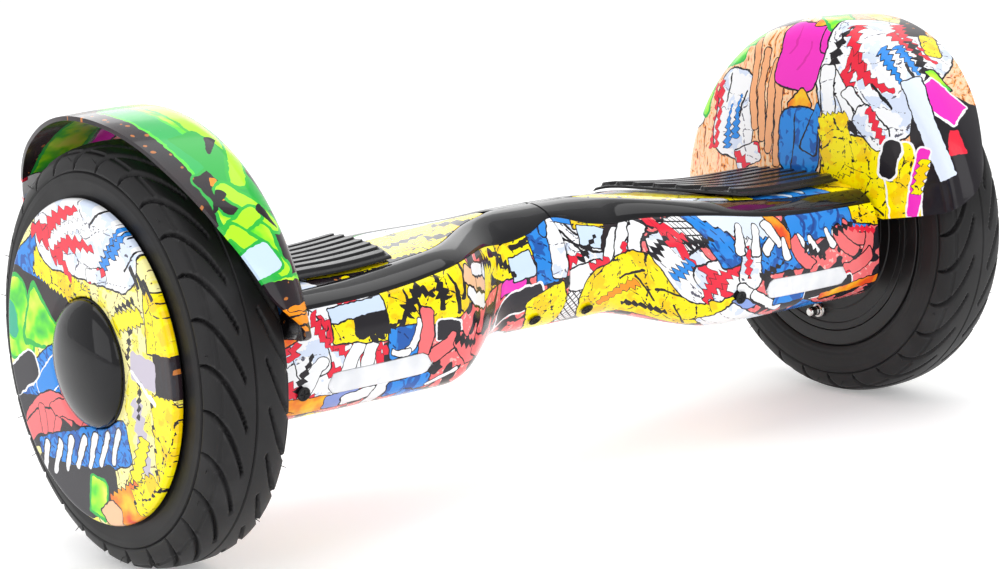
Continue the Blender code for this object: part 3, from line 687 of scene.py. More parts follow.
def charge_pins():
    """Three brass pins inside the socket."""
    verts, faces = [], []
    for angle in np.radians((90, 210, 330)):
        shape = lathe([(0.0676, 0.0), (0.0676, 0.0009), (0.0748, 0.0009), (0.0756, 0.0004), (0.0757, 0.0)],
                      24, closed=False)
        pin, pin_faces, _ = turned_to_y(shape, SOCKET[0] + 0.0036 * math.cos(angle),
                                        SOCKET[2] + 0.0036 * math.sin(angle))
        faces += [tuple(len(verts) + v for v in face) for face in pin_faces]
        verts += pin
    return verts, faces, None


def charge_cap():
    """Rubber flap over the socket, with a raised ring, a lift tab and its strap at the top."""
    low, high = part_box("charge_cap")
    centre_z = low[2] + 0.0110
    outline = [(0.0110 * math.cos(a), 0.0110 * math.sin(a)) for a in np.radians(np.linspace(120, 420, 61))]
    outline += [(0.0052, 0.0125), (0.0048, high[2] - centre_z), (-0.0048, high[2] - centre_z),
                (-0.0052, 0.0125)]
    count = len(outline)
    levels = [(low[1], 1.0), (high[1] - 0.0004, 1.0), (high[1], 0.955), (high[1], 0.82),
              (high[1] - 0.0006, 0.76),
              (high[1] - 0.0006, 0.40), (high[1] - 0.0002, 0.30)]
    verts = [(SOCKET[0] + u * s, y, centre_z + v * s) for y, s in levels for u, v in outline]
    faces = [tuple(range(count)), tuple(range(len(verts) - 1, len(verts) - count - 1, -1))]
    for level in range(len(levels) - 1):
        for k in range(count):
            a, b = level * count + k, level * count + (k + 1) % count
            faces.append((a, b, b + count, a + count))
    return verts, faces, None


def power_button():
    """Button with a dished face and a ring groove."""
    profile = [(0.0660, 0.0), (0.0660, 0.0058), (0.0782, 0.0058), (0.0790, 0.0050), (0.0788, 0.0044),
               (0.0783, 0.0041), (0.0788, 0.0037), (0.0786, 0.0018), (0.0785, 0.0)]
    shape = lathe(filleted(profile, 0.0003, 3, closed=False), 96, closed=False)
    return turned_to_y(shape, BUTTON[0], BUTTON[2])


def bored(piece, holes):
    """Cuts round holes along Y into a piece for good."""
    for x, z, radius in holes:
        rod = lathe([(0.060, 0.0), (0.060, radius), (0.090, radius), (0.090, 0.0)], 96, closed=False)
        cutter = make("cutter", turned_to_y(rod, x, z), piece.data.materials[0])
        drill = piece.modifiers.new("hole", "BOOLEAN")
        drill.operation = "DIFFERENCE"
        drill.object = cutter
        bpy.context.view_layer.update()
        whole = bpy.data.meshes.new_from_object(piece.evaluated_get(bpy.context.evaluated_depsgraph_get()))
        piece.modifiers.clear()
        piece.data = whole
        bpy.data.objects.remove(cutter)
    piece.data.set_sharp_from_angle(angle=math.radians(40))


# ------------------------------------------------------------------ material helpers
class Graph:
    """Short hand for building a shader's nodes. A value may be a socket, a number, a vector or a colour."""

    def __init__(self, tree):
        self.tree = tree

    def node(self, kind, settings=(), inputs=()):
        made = self.tree.nodes.new(kind)
        for key, value in dict(settings).items():
            setattr(made, key, value)
        for key, value in dict(inputs).items():
            self.feed(made.inputs[key], value)
        return made

    def feed(self, socket, value):
        if isinstance(value, bpy.types.NodeSocket):
            self.tree.links.new(value, socket)
        elif socket.type == "RGBA" and len(value) == 3:
            socket.default_value = (*value, 1.0)
        else:
            socket.default_value = value

    def math(self, operation, a, b=0.0, c=0.0):
        return self.node("ShaderNodeMath", {"operation": operation}, {0: a, 1: b, 2: c}).outputs[0]

    def vector(self, operation, a, b=(0, 0, 0), out=0, scale=None):
        inputs = {0: a, 1: b}
        if scale is not None:
            inputs[3] = scale
        return self.node("ShaderNodeVectorMath", {"operation": operation}, inputs).outputs[out]

    def dot(self, vector, axis):
        return self.vector("DOT_PRODUCT", vector, axis, out=1)

    def mix(self, factor, a, b):
        return self.node("ShaderNodeMix", {"data_type": "RGBA"}, {0: factor, 6: a, 7: b}).outputs[2]

    def mapped(self, vector, scale=(1, 1, 1), angle=0.0):
        return self.node("ShaderNodeMapping", (),
                         {"Vector": vector, "Rotation": (0, 0, angle), "Scale": scale}).outputs[0]

    def noise(self, vector, scale, detail=2.0, out=0):
        return self.node("ShaderNodeTexNoise", (),
                         {"Vector": vector, "Scale": scale, "Detail": detail}).outputs[out]

    def voronoi(self, vector, scale, feature="F1", jitter=1.0):
        return self.node("ShaderNodeTexVoronoi", {"feature": feature},
                         {"Vector": vector, "Scale": scale, "Randomness": jitter}).outputs["Distance"]

    def ramp(self, value, *stops):
        """Colours at the (position, colour) stops, with straight runs between them."""
        made = self.node("ShaderNodeValToRGB", (), {0: value})
        elements = made.color_ramp.elements
        while len(elements) < len(stops):
            elements.new(0.5)
        for element, (position, colour) in zip(elements, stops):
            element.position = position
            element.color = (*colour, 1.0)
        return made.outputs[0]

    def span(self, value, low, high, to_low=0.0, to_high=1.0):
        return self.node("ShaderNodeMapRange", {"clamp": True},
                         {0: value, 1: low, 2: high, 3: to_low, 4: to_high}).outputs[0]

    def vary(self, value, low, high):
        """From low to high over the middle range of a noise."""
        return self.span(value, 0.3, 0.7, low, high)

    def bump(self, height, strength, distance=0.0002):
        return self.node("ShaderNodeBump", (),
                         {"Height": height, "Strength": strength, "Distance": distance}).outputs[0]

    def objects(self):
        return self.node("ShaderNodeTexCoord").outputs["Object"]


class Finish(Graph):
    """A material with only a Principled shader, and its graph."""

    def __init__(self, name):
        self.material = bpy.data.materials.new(name)
        self.material.use_nodes = True
        super().__init__(self.material.node_tree)
        self.shader = self.tree.nodes["Principled BSDF"]

    def even(self, **values):
        """Values that are the same all over, by the socket's name with _ for a space."""
        for name, value in values.items():
            self.shader.inputs[name.replace("_", " ")].default_value = value

    def done(self, colour, roughness, relief):
        self.feed(self.shader.inputs["Base Color"], colour)
        self.feed(self.shader.inputs["Roughness"], roughness)
        self.feed(self.shader.inputs["Normal"], relief)
        return self.material


def scaled(colour, factor, lift=0.0):
    return tuple(c * factor + lift for c in colour)


def gloss_trim():
    """Piano-black moulded trim with faint flow marks, fine dust scratches and soft orange peel."""
    g = Finish("gloss_black_trim")
    where = g.objects()
    haze = g.noise(where, 18.0, 4.0)
    scratches = g.noise(g.mapped(where, (300, 2600, 2600)), 1.0, 3.0)
    g.even(Specular_IOR_Level=0.24, Coat_Weight=0.20, Coat_Roughness=0.02)
    return g.done(g.ramp(haze, (0.3, (0.003, 0.003, 0.004)), (0.7, (0.007, 0.007, 0.009))),
                  g.math("ADD", g.span(haze, 0.35, 0.65, 0.06, 0.11),
                         g.span(scratches, 0.62, 0.75, 0.0, 0.10)),
                  g.bump(g.noise(where, 420.0, 1.0), 0.10))


def moulded_rubber(name, base, rough, grain=2200.0, tone_and_highlight_lift=0.02):
    """Moulded rubber: fine grain, cloudy colour and a painted highlight, a paler colour on sharp raised
    edges.
    """
    g = Finish(name)
    where = g.objects()
    cloud = g.noise(where, 25.0, 5.0)
    light = scaled(base, 1.45, tone_and_highlight_lift * 0.4)
    colour = g.ramp(cloud, (0.3, scaled(base, 0.75)), (0.55, base), (0.8, light))
    # painted highlight: sharp raised edges, such as the lips of the tread's grooves, get a paler colour,
    # broken up by noise
    edge = g.node("ShaderNodeNewGeometry").outputs["Pointiness"]
    painted_edge_highlight = g.math("MULTIPLY", g.span(edge, 0.52, 0.60), g.span(g.noise(where, 160.0, 3.0), 0.4, 0.7))
    g.even(Specular_IOR_Level=0.26)
    # the painted highlight's colour is the cloud's pale tone, lifted once more
    return g.done(g.mix(painted_edge_highlight, colour, scaled(light, 1.0, tone_and_highlight_lift)), g.vary(cloud, rough - 0.05, rough + 0.08),
                  g.bump(g.noise(where, grain), 0.25))


def gloss_pad():
    """Black foot pad rubber with a wet-looking polish that dulls along the tread."""
    g = Finish("polished_pad_rubber")
    where = g.objects()
    cloud = g.noise(where, 40.0, 4.0)
    g.even(Specular_IOR_Level=0.32)
    return g.done(g.ramp(cloud, (0.3, (0.005, 0.005, 0.006)), (0.7, (0.012, 0.012, 0.014))),
                  g.vary(cloud, 0.20, 0.30), g.bump(g.noise(where, 1500.0), 0.12))


def painted_metal(name, base, rough):
    """Black powder-coated casting with a fine texture."""
    g = Finish(name)
    where = g.objects()
    cloud = g.noise(where, 30.0, 3.0)
    g.even(Metallic=0.35)
    return g.done(g.ramp(cloud, (0.3, scaled(base, 0.7)), (0.7, scaled(base, 1.3))),
                  g.vary(cloud, rough - 0.06, rough + 0.08), g.bump(g.noise(where, 1800.0, 3.0), 0.18))


def bare_metal(name, base, rough, brushed=(60.0, 2400.0, 2400.0)):
    """Bare metal with tool marks along X and light tarnish."""
    g = Finish(name)
    where = g.objects()
    marks = g.noise(g.mapped(where, brushed), 1.0, 3.0)
    tarnish = g.noise(where, 45.0, 4.0)
    g.even(Metallic=1.0)
    return g.done(g.ramp(tarnish, (0.3, scaled(base, 0.8)), (0.7, base)),
                  g.math("ADD", g.vary(tarnish, rough - 0.04, rough + 0.06),
                         g.span(marks, 0.4, 0.7, 0.0, 0.10)),
                  g.bump(marks, 0.12))


def frosted_lens():
    """Milky light strip: a diffuser with faint inner banding and a clear glossy skin."""
    g = Finish("frosted_light_strip")
    where = g.objects()
    bands = g.math("SINE", g.math("MULTIPLY", g.dot(where, (1, 0, 0)), 420.0))
    cloud = g.noise(where, 60.0, 3.0)
    tone = g.math("ADD", cloud, g.math("MULTIPLY", bands, 0.05))
    g.even(Subsurface_Weight=0.35, Subsurface_Radius=(0.004, 0.004, 0.0045), Coat_Weight=0.5,
           Coat_Roughness=0.08)
    return g.done(g.ramp(tone, (0.3, (0.74, 0.76, 0.80)), (0.7, (0.88, 0.89, 0.91))),
                  g.vary(cloud, 0.20, 0.30), g.bump(g.noise(where, 900.0), 0.06))


def circuit_board():
    """Green solder mask with copper tracks showing through and small parts' pads."""
    g = Finish("green_circuit_board")
    where = g.objects()
    tracks = g.node("ShaderNodeTexBrick", {"offset": 0.5},
                    {"Vector": where, "Scale": 60.0, "Mortar Size": 0.03, "Color1": (0.02, 0.16, 0.06),
                     "Color2": (0.03, 0.20, 0.07), "Mortar": (0.05, 0.30, 0.10)}).outputs[0]
    pads = g.span(g.voronoi(where, 260.0, jitter=0.4), 0.10, 0.13, 1.0, 0.0)
    return g.done(g.mix(pads, tracks, (0.75, 0.74, 0.70)), g.vary(g.noise(where, 80.0), 0.28, 0.42),
                  g.bump(pads, 0.3, 0.0003))


def shrink_wrap():
    """Blue heat-shrink film over the battery's cells, with fine wrinkles."""
    g = Finish("blue_battery_wrap")
    where = g.objects()
    creases = g.noise(g.mapped(where, (30, 160, 160)), 1.0, 5.0)
    return g.done(g.ramp(creases, (0.3, (0.01, 0.05, 0.28)), (0.7, (0.03, 0.12, 0.50))),
                  g.vary(creases, 0.22, 0.40), g.bump(creases, 0.4, 0.001))


def copper_winding():
    """Motor core: fine copper turns with varnish."""
    g = Finish("copper_winding")
    where = g.objects()
    turns = g.node("ShaderNodeTexWave", {"bands_direction": "X"},
                   {"Vector": where, "Scale": 400.0, "Distortion": 1.5, "Detail": 2.0}).outputs[1]
    g.even(Metallic=0.9)
    return g.done(g.ramp(turns, (0.2, (0.28, 0.09, 0.03)), (0.8, (0.72, 0.33, 0.14))),
                  g.vary(g.noise(where, 50.0), 0.28, 0.45), g.bump(turns, 0.4, 0.0004))


def pale_floor():
    """Plain pale floor with a little glow of its own, so that it stays white."""
    g = Finish("pale_floor")
    where = g.objects()
    tone = g.noise(where, 1.5, 3.0)
    colour = g.ramp(tone, (0.3, (0.86, 0.86, 0.86)), (0.7, (0.89, 0.89, 0.89)))
    g.feed(g.shader.inputs["Base Color"], colour)
    g.even(Roughness=0.55, Emission_Color=(1.0, 1.0, 1.0, 1.0), Emission_Strength=0.30)
    return g.material


# ------------------------------------------------------------------ comic print
INK = (0.012, 0.010, 0.014)
WHITE = (0.90, 0.91, 0.93)
YELLOW = (0.98, 0.82, 0.0)
PALE_YELLOW = (0.95, 0.88, 0.38)
RED = (0.80, 0.02, 0.05)
BLUE = (0.02, 0.25, 0.76)
SALMON = (0.88, 0.16, 0.17)
LIME = (0.45, 0.95, 0.02)
GREEN = (0.02, 0.45, 0.06)
MAGENTA = (0.86, 0.03, 0.52)
ORANGE = (0.95, 0.30, 0.01)
PEACH = (0.93, 0.55, 0.32)
ASH = (0.020, 0.018, 0.025)
SKY = (0.62, 0.76, 0.93)


def group_tree(name, inputs, outputs):
    """An empty node group with its sockets, its graph, and its input and output nodes."""
    tree = bpy.data.node_groups.new(name, "ShaderNodeTree")
    for label, kind in inputs:
        tree.interface.new_socket(label, in_out="INPUT", socket_type=kind)
    for label, kind in outputs:
        tree.interface.new_socket(label, in_out="OUTPUT", socket_type=kind)
    g = Graph(tree)
    return g, g.node("NodeGroupInput").outputs, g.node("NodeGroupOutput").inputs


def fill_group():
    """The print's hatched, cracked and shaded fills, from a place in millimetres."""
    names = ("Yellow", "Pale", "White", "Splinter", "Wood", "Blue", "Stitched", "Lattice", "Blotch", "Glow",
             "Night", "Ember")
    g, given, result = group_tree("comic_fills", [("Vector", "NodeSocketVector")],
                                  [(name, "NodeSocketColor") for name in names]
                                  + [("Where", "NodeSocketVector")])
    where = given["Vector"]
    shake = g.noise(where, 0.06, 2.0, out=1)
    shift = g.vector("SCALE", g.vector("SUBTRACT", shake, (0.5, 0.5, 0.5)), scale=9.0)
    shaken = g.vector("ADD", where, shift)
    x, y = g.dot(where, (1, 0, 0)), g.dot(where, (0, 1, 0))
    cloud = g.noise(where, 0.06, 4.0)
    fine = g.noise(where, 0.35, 3.0)

    crack_edge = g.voronoi(shaken, 0.040, "DISTANCE_TO_EDGE")
    crack_width = g.span(fine, 0.42, 0.64, 0.0, 0.024)
    crack = g.math("LESS_THAN", crack_edge, crack_width)
    nick_edge = g.voronoi(shaken, 0.13, "DISTANCE_TO_EDGE")
    nick = g.math("MULTIPLY", g.math("LESS_THAN", nick_edge, 0.035), g.math("GREATER_THAN", fine, 0.60))
    cracked = g.math("MAXIMUM", crack, nick)
    shade = g.span(cloud, 0.52, 0.56)
    g.feed(result["Yellow"], g.mix(cracked, g.mix(shade, YELLOW, (0.93, 0.62, 0.0)), INK))
    g.feed(result["Pale"], g.mix(cracked, g.mix(shade, PALE_YELLOW, (0.97, 0.86, 0.10)),
                                 (0.16, 0.10, 0.06)))

    hair_edge = g.voronoi(g.mapped(shaken, (0.35, 1, 1), angle=0.5), 0.05, "DISTANCE_TO_EDGE")
    hair = g.math("LESS_THAN", hair_edge, 0.012)
    pale = g.mix(g.math("GREATER_THAN", cloud, 0.55), WHITE, (0.66, 0.74, 0.90))
    white = g.mix(g.math("MULTIPLY", hair, g.math("GREATER_THAN", fine, 0.5)), pale, (0.10, 0.10, 0.14))
    g.feed(result["White"], white)

    def teeth(along, across, width, period=11.0, height=3.4):
        """Zigzag bands: 1 inside a band that repeats every `period`."""
        phase = g.math("PINGPONG", g.math("ADD", across, g.math("PINGPONG", along, height)), period)
        return g.math("LESS_THAN", phase, width)

    c, s = math.cos(math.radians(35)), math.sin(math.radians(35))
    sx, sy = g.dot(shaken, (c, -s, 0)), g.dot(shaken, (s, c, 0))
    bands, rims = teeth(sx, sy, 3.2), teeth(sx, sy, 3.9)
    g.feed(result["Splinter"], g.mix(bands, g.mix(rims, white, (0.25, 0.02, 0.05)), RED))

    grain = g.noise(g.mapped(shaken, (0.30, 0.035, 1), angle=0.25), 1.0, 3.0)
    g.feed(result["Wood"], g.ramp(grain, (0.0, (0.20, 0.04, 0.03)), (0.36, (0.20, 0.04, 0.03)),
                                  (0.38, ORANGE), (0.47, PEACH), (0.55, (0.95, 0.72, 0.45)),
                                  (0.63, PEACH), (0.68, (0.85, 0.20, 0.12))))

    fold = g.span(g.noise(g.mapped(shaken, (0.10, 0.03, 1), angle=-0.6), 1.0, 1.0), 0.52, 0.56)
    blue = g.mix(fold, BLUE, (0.01, 0.10, 0.42))
    g.feed(result["Blue"], blue)
    from_seam = g.math("ABSOLUTE", g.math("SUBTRACT", g.math("PINGPONG", sy, 9.0), 4.5))
    seam = g.math("LESS_THAN", from_seam, 0.45)
    dash = g.math("GREATER_THAN", g.math("PINGPONG", sx, 2.6), 0.9)
    g.feed(result["Stitched"], g.mix(g.math("MULTIPLY", seam, dash), blue, (0.0, 0.03, 0.16)))

    mesh_x = g.math("LESS_THAN", g.math("PINGPONG", g.math("ADD", x, y), 2.6), 0.55)
    mesh_y = g.math("LESS_THAN", g.math("PINGPONG", g.math("SUBTRACT", x, y), 2.6), 0.55)
    g.feed(result["Lattice"], g.mix(g.math("MAXIMUM", mesh_x, mesh_y), WHITE, INK))

    blotch = g.noise(shaken, 0.075, 1.0)
    fleck = g.math("GREATER_THAN", g.noise(where, 0.30, 1.0), 0.62)
    salmon = g.mix(fleck, SALMON, (0.95, 0.45, 0.42))
    g.feed(result["Blotch"], g.mix(g.math("GREATER_THAN", blotch, 0.49), ASH, salmon))

    g.feed(result["Glow"], g.ramp(g.noise(shaken, 0.05), (0.30, GREEN), (0.45, (0.12, 0.75, 0.02)),
                                  (0.55, LIME), (0.70, (0.80, 1.0, 0.10))))
    spark = g.math("LESS_THAN", g.voronoi(shaken, 0.12), 0.16)
    night = g.ramp(cloud, (0.35, INK), (0.7, (0.025, 0.012, 0.015)))
    g.feed(result["Night"], g.mix(spark, night, (0.50, 0.16, 0.03)))
    g.feed(result["Ember"], g.ramp(cloud, (0.35, (0.95, 0.60, 0.02)), (0.5, ORANGE),
                                   (0.65, (0.80, 0.08, 0.02))))

    drift = g.vector("SUBTRACT", g.noise(g.mapped(shaken), 0.13, 2.0, out=1), (0.5, 0.5, 0.5))
    g.feed(result["Where"], g.vector("ADD", where, g.vector("SCALE", drift, scale=4.0)))
    return g.tree


def shape_group():
    """One comic shape over a colour: a rounded box that can bend, taper and have a jagged edge."""
    floats = ("Centre X", "Centre Y", "Corner", "Bend", "Taper", "Jag", "Line")
    g, given, result = group_tree(
        "comic_shape",
        [(name, "NodeSocketColor") for name in ("Below", "Fill", "Ink")]
        + [(name, "NodeSocketVector") for name in ("Where", "Along", "Across", "Core")]
        + [(name, "NodeSocketFloat") for name in floats], [("Colour", "NodeSocketColor")])
    x = g.math("SUBTRACT", g.dot(given["Where"], given["Along"]), given["Centre X"])
    y = g.math("SUBTRACT", g.dot(given["Where"], given["Across"]), given["Centre Y"])
    bent = g.math("SUBTRACT", y, g.math("MULTIPLY", g.math("MULTIPLY", x, x), given["Bend"]))
    narrow = g.math("MAXIMUM", g.math("MULTIPLY_ADD", x, given["Taper"], 1.0), 0.06)
    local = g.node("ShaderNodeCombineXYZ", (), {0: x, 1: g.math("DIVIDE", bent, narrow)}).outputs[0]
    past = g.vector("MAXIMUM", g.vector("SUBTRACT", g.vector("ABSOLUTE", local), given["Core"]), (0, 0, 0))
    teeth = g.math("PINGPONG", g.math("MULTIPLY_ADD", bent, 0.4, x), g.math("MULTIPLY", given["Jag"], 1.3))
    edge = g.math("SUBTRACT", g.vector("LENGTH", past, out=1), given["Corner"])
    edge = g.math("ADD", edge, g.math("MULTIPLY_ADD", given["Jag"], -0.6, teeth))
    outlined = g.mix(g.math("LESS_THAN", edge, given["Line"]), given["Below"], given["Ink"])
    g.feed(result["Colour"], g.mix(g.math("LESS_THAN", edge, 0.0), outlined, given["Fill"]))
    return g.tree


NO_LINE = -9.0      # an outline so far inside the shape that none shows


class Print(Finish):
    """Comic shapes painted one over another on a chart in millimetres, under a clear gloss coat."""
    groups = None

    def __init__(self, name, ground):
        super().__init__(name)
        Print.groups = Print.groups or (fill_group(), shape_group())
        uv = self.node("ShaderNodeUVMap", {"uv_map": "print"}).outputs[0]
        chart = self.vector("SCALE", uv, scale=1000.0)
        self.fill = self.node("ShaderNodeGroup", {"node_tree": Print.groups[0]}, {"Vector": chart}).outputs
        self.colour = self.fill[ground]

    def paint(self, fill, centre, half, angle=0.0, corner=2.5, bend=0.0, taper=0.0, jag=0.0, line=1.0,
              ink=INK):
        """One shape. half is (along, across) in millimetres, the angle in degrees from the chart's X."""
        corner = min(corner, *half)
        c, s = math.cos(math.radians(angle)), math.sin(math.radians(angle))
        colour = self.fill[fill] if isinstance(fill, str) else fill
        self.colour = self.node("ShaderNodeGroup", {"node_tree": Print.groups[1]}, {
            "Below": self.colour, "Fill": colour, "Ink": ink, "Where": self.fill["Where"],
            "Along": (c, s, 0.0), "Across": (-s, c, 0.0), "Centre X": c * centre[0] + s * centre[1],
            "Centre Y": c * centre[1] - s * centre[0], "Core": (half[0] - corner, half[1] - corner, 0.0),
            "Corner": corner, "Bend": bend, "Taper": taper / half[0], "Jag": jag,
            "Line": line or NO_LINE}).outputs[0]

    def strokes(self, fill, places, half, **options):
        """The same stroke at several (x, y, angle)."""
        for x, y, angle in places:
            self.paint(fill, (x, y), half, angle, **options)

    def finish(self):
        """Gloss lacquer with orange peel, faint scratches and dust."""
        where = self.objects()
        haze = self.vary(self.noise(where, 22.0, 3.0), 0.14, 0.22)
        marks = self.noise(self.mapped(where, (260, 260, 2400)), 1.0, 3.0)
        scratch = self.span(marks, 0.64, 0.78, 0.0, 0.12)
        self.even(Specular_IOR_Level=0.22, Coat_Weight=0.22, Coat_Roughness=0.04)
        return self.done(self.colour, self.math("ADD", haze, scratch),
                         self.bump(self.noise(where, 380.0, 1.0), 0.05))


def print_disc(name):
    """Wheel disc. The chart is the disc seen from outside, with its middle at the axle."""
    p = Print(name, "Pale")
    p.paint("Yellow", (88, 33), (18, 18), corner=1)
    p.paint("Yellow", (84, -38), (13, 30), corner=4, jag=2)
    p.paint("Night", (90, 4), (14, 12), corner=1, line=0)
    p.strokes(ASH, [(83, 4, 90), (89, 4, 90), (95, 4, 90)], (10, 1.0), line=0)
    p.paint((0.55, 0.50, 0.60), (63, 4), (14, 9), -8, line=0)
    p.paint((0.55, 0.50, 0.60), (56, -36), (22, 6), 100, jag=3, line=0)
    p.strokes(INK, [(50, 20, 70), (56, -14, 80), (48, 40, 20)], (13, 1.6), jag=2, line=0)
    p.strokes(YELLOW, [(50, 32, 15), (52, -50, 62)], (17, 5), jag=2)
    p.paint("Blue", (-58, 48), (34, 18), 30)
    p.paint("Night", (-50, 24), (46, 20), -12, line=0)
    p.paint("Yellow", (-24, 46), (32, 9), -20, jag=1.5)
    p.paint("White", (8, 74), (58, 24), -4, corner=20, line=1.2)
    p.strokes(RED, [(-22, 84, 28), (-8, 70, 8), (-30, 66, -35)], (24, 4.0), bend=-0.008, taper=-0.5,
              jag=3.2, line=0.5)
    p.paint(WHITE, (-14, 78), (22, 3.5), 20, bend=-0.008, jag=2, line=0.4)
    p.strokes(BLUE, [(38, 72, 48), (50, 78, 44)], (17, 2.2), taper=-0.6, jag=2, line=0.8)
    p.strokes(INK, [(24, 88, 30), (58, 66, 44), (62, 84, 40)], (9, 0.8), line=0)
    p.paint("Splinter", (18, 54), (12, 4), 8, line=0.5)
    p.strokes(INK, [(62, 58, -58), (69, 55, -55), (76, 52, -52)], (7, 1.9), corner=0.5, line=0)
    p.paint(WHITE, (62, -6), (16, 1.4), -32, line=0)
    p.paint("Glow", (-84, 18), (17, 24), 8, corner=10, line=2.4, ink=GREEN)
    p.paint("Glow", (-48, 14), (22, 11), -25, taper=-0.7, corner=3, line=2.4, ink=GREEN)
    p.paint((0.02, 0.42, 0.25), (-90, 16), (7, 11), 8, corner=6, line=1.6, ink=(0.10, 0.70, 0.03))
    p.paint("Stitched", (-38, -12), (50, 18), 28, corner=6)
    p.paint(BLUE, (-30, -2), (40, 8), 30, bend=-0.004, line=1.0, ink=WHITE)
    p.paint(ASH, (-80, -16), (19, 9), 28, corner=8, line=1.5, ink=WHITE)
    p.paint(ASH, (-46, -42), (50, 16), 6, corner=6, line=0)
    p.strokes(SALMON, [(-56, -32, 14), (-22, -32, -12), (-72, -48, 30)], (28, 6.5), bend=-0.012, taper=0.3)
    p.strokes(SALMON, [(-44, -46, 70), (-12, -42, 60), (-60, -42, 100)], (9, 3.5), line=0.6)
    p.paint("Stitched", (-12, -54), (54, 13), 14, corner=4)
    p.paint(ASH, (-22, -80), (46, 14), 4, corner=8, bend=0.003)
    p.strokes(WHITE, [(-60, -66, 74), (-45, -63, 66), (-31, -59, 70), (-17, -56, 60), (-3, -53, 68),
                      (11, -50, 62), (25, -46, 66)], (12, 2.4), taper=0.2)
    p.paint("Glow", (1, -80), (9, 11), -10, corner=2, line=1.8, ink=GREEN)
    p.paint("Ember", (36, -82), (18, 14), 25, jag=2)
    p.paint("Yellow", (58, -70), (15, 10), 30, jag=2)
    p.paint(PEACH, (18, -88), (8, 10), 60, taper=-0.4)
    return p.finish()


def print_left_body():
    """Left half. The chart's X is along the board and its Y is up the front from the belly's middle."""
    p = Print("print_left_body", "Blotch")
    p.paint("Splinter", (-215, 104), (40, 32), 0, corner=4, line=0)
    p.paint("White", (-228, 112), (12, 20), 12, corner=8)
    p.strokes(RED, [(-236, 118, 80), (-218, 116, -60), (-205, 106, -50), (-190, 98, -52), (-178, 104, -48)],
              (15, 2.4), bend=0.02, taper=-0.5, jag=2.2, line=0.4)
    p.strokes(WHITE, [(-228, 92, 55), (-200, 96, 60), (-184, 104, 62)], (15, 4.2), bend=-0.012, line=0.6)
    p.paint("Ember", (-243, 126), (9, 11), 20)
    p.paint("Yellow", (-188, 116), (22, 8), -6)
    p.paint(INK, (-176, 119), (19, 8), 4, corner=5, line=0)
    p.paint((0.62, 0.74, 0.93), (-188, 128), (22, 4.5), 4, corner=1)
    p.paint("Yellow", (-134, 127), (36, 17), 4, corner=3)
    p.strokes(INK, [(-128, 130, 88), (-156, 122, 70), (-146, 120, 100), (-117, 126, 96), (-108, 130, 75)],
              (13, 1.5), bend=0.01, taper=-0.6, line=0)
    p.strokes(INK, [(-128, 132, 92), (-150, 126, 40), (-140, 130, -30)], (9, 3.2), taper=-0.8, jag=2,
              line=0)
    p.paint("Stitched", (-156, 103), (15, 9), 0, corner=2)
    p.paint(WHITE, (-150, 104), (11, 2.6), 60, bend=0.03, line=0.7)
    p.paint(WHITE, (-163, 96), (7, 1.8), -10, bend=0.04, line=0.7)
    p.paint(ASH, (-126, 104), (9, 6), -10, line=1.2, ink=WHITE)
    p.strokes(SALMON, [(-134, 92, 20), (-112, 86, -50), (-96, 74, -48), (-142, 106, 80)], (15, 4.5),
              bend=0.01, line=0.9)
    p.strokes(PEACH, [(-92, 112, -50), (-80, 96, -52)], (24, 4.2), bend=0.004)
    p.strokes(WHITE, [(-84, 108, -50), (-96, 104, -54), (-72, 90, -54)], (20, 2.4), bend=0.003)
    p.paint("Yellow", (-58, 86), (26, 13), -36, corner=4)
    p.paint("Yellow", (-34, 86), (22, 9), 6, corner=3)
    p.strokes(INK, [(-60, 90, -45), (-66, 78, -50), (-34, 86, 5), (-28, 90, 30)], (10, 1.4), taper=-0.6,
              line=0)
    p.paint(MAGENTA, (-48, 62), (12, 4), -10)
    p.paint("Stitched", (-18, 82), (9, 24), 0, corner=2)
    p.paint("White", (-6, 86), (6, 26), -6, corner=2)
    p.paint(BLUE, (-9, 100), (12, 2.5), 62)
    p.paint(SKY, (-38, 72), (9, 8), 8, corner=1)
    p.paint(ASH, (-42, 49), (20, 8), 8, corner=3, line=1.6, ink=WHITE)
    p.paint("Ember", (-235, 74), (22, 7), -4, line=0.6)
    p.paint((0.25, 0.32, 0.68), (-205, 74), (12, 6), 6, line=0.6)
    p.strokes(WHITE, [(-192, 74, 8), (-178, 72, 70)], (12, 4.5))
    p.paint("Blue", (-156, 73), (16, 6.5), 4)
    p.paint(WHITE, (-130, 74), (12, 1.6), 24, line=0.7)
    p.strokes(INK, [(-232, 96, 62), (-172, 112, 20), (-112, 92, -40), (-52, 76, -52), (-74, 100, -56)],
              (13, 2.2), taper=-0.6, jag=2, line=0)
    p.paint("Yellow", (-200, 34), (34, 20), -22)
    p.paint("Stitched", (-150, 40), (20, 24), -28)
    p.strokes(WHITE, [(-172, 38, -62), (-162, 36, -60)], (26, 4))
    p.paint("White", (-70, 22), (30, 12), -28)
    p.paint("Yellow", (-12, 30), (16, 24), 20)
    add_back_art(p, -1)
    return p.finish()


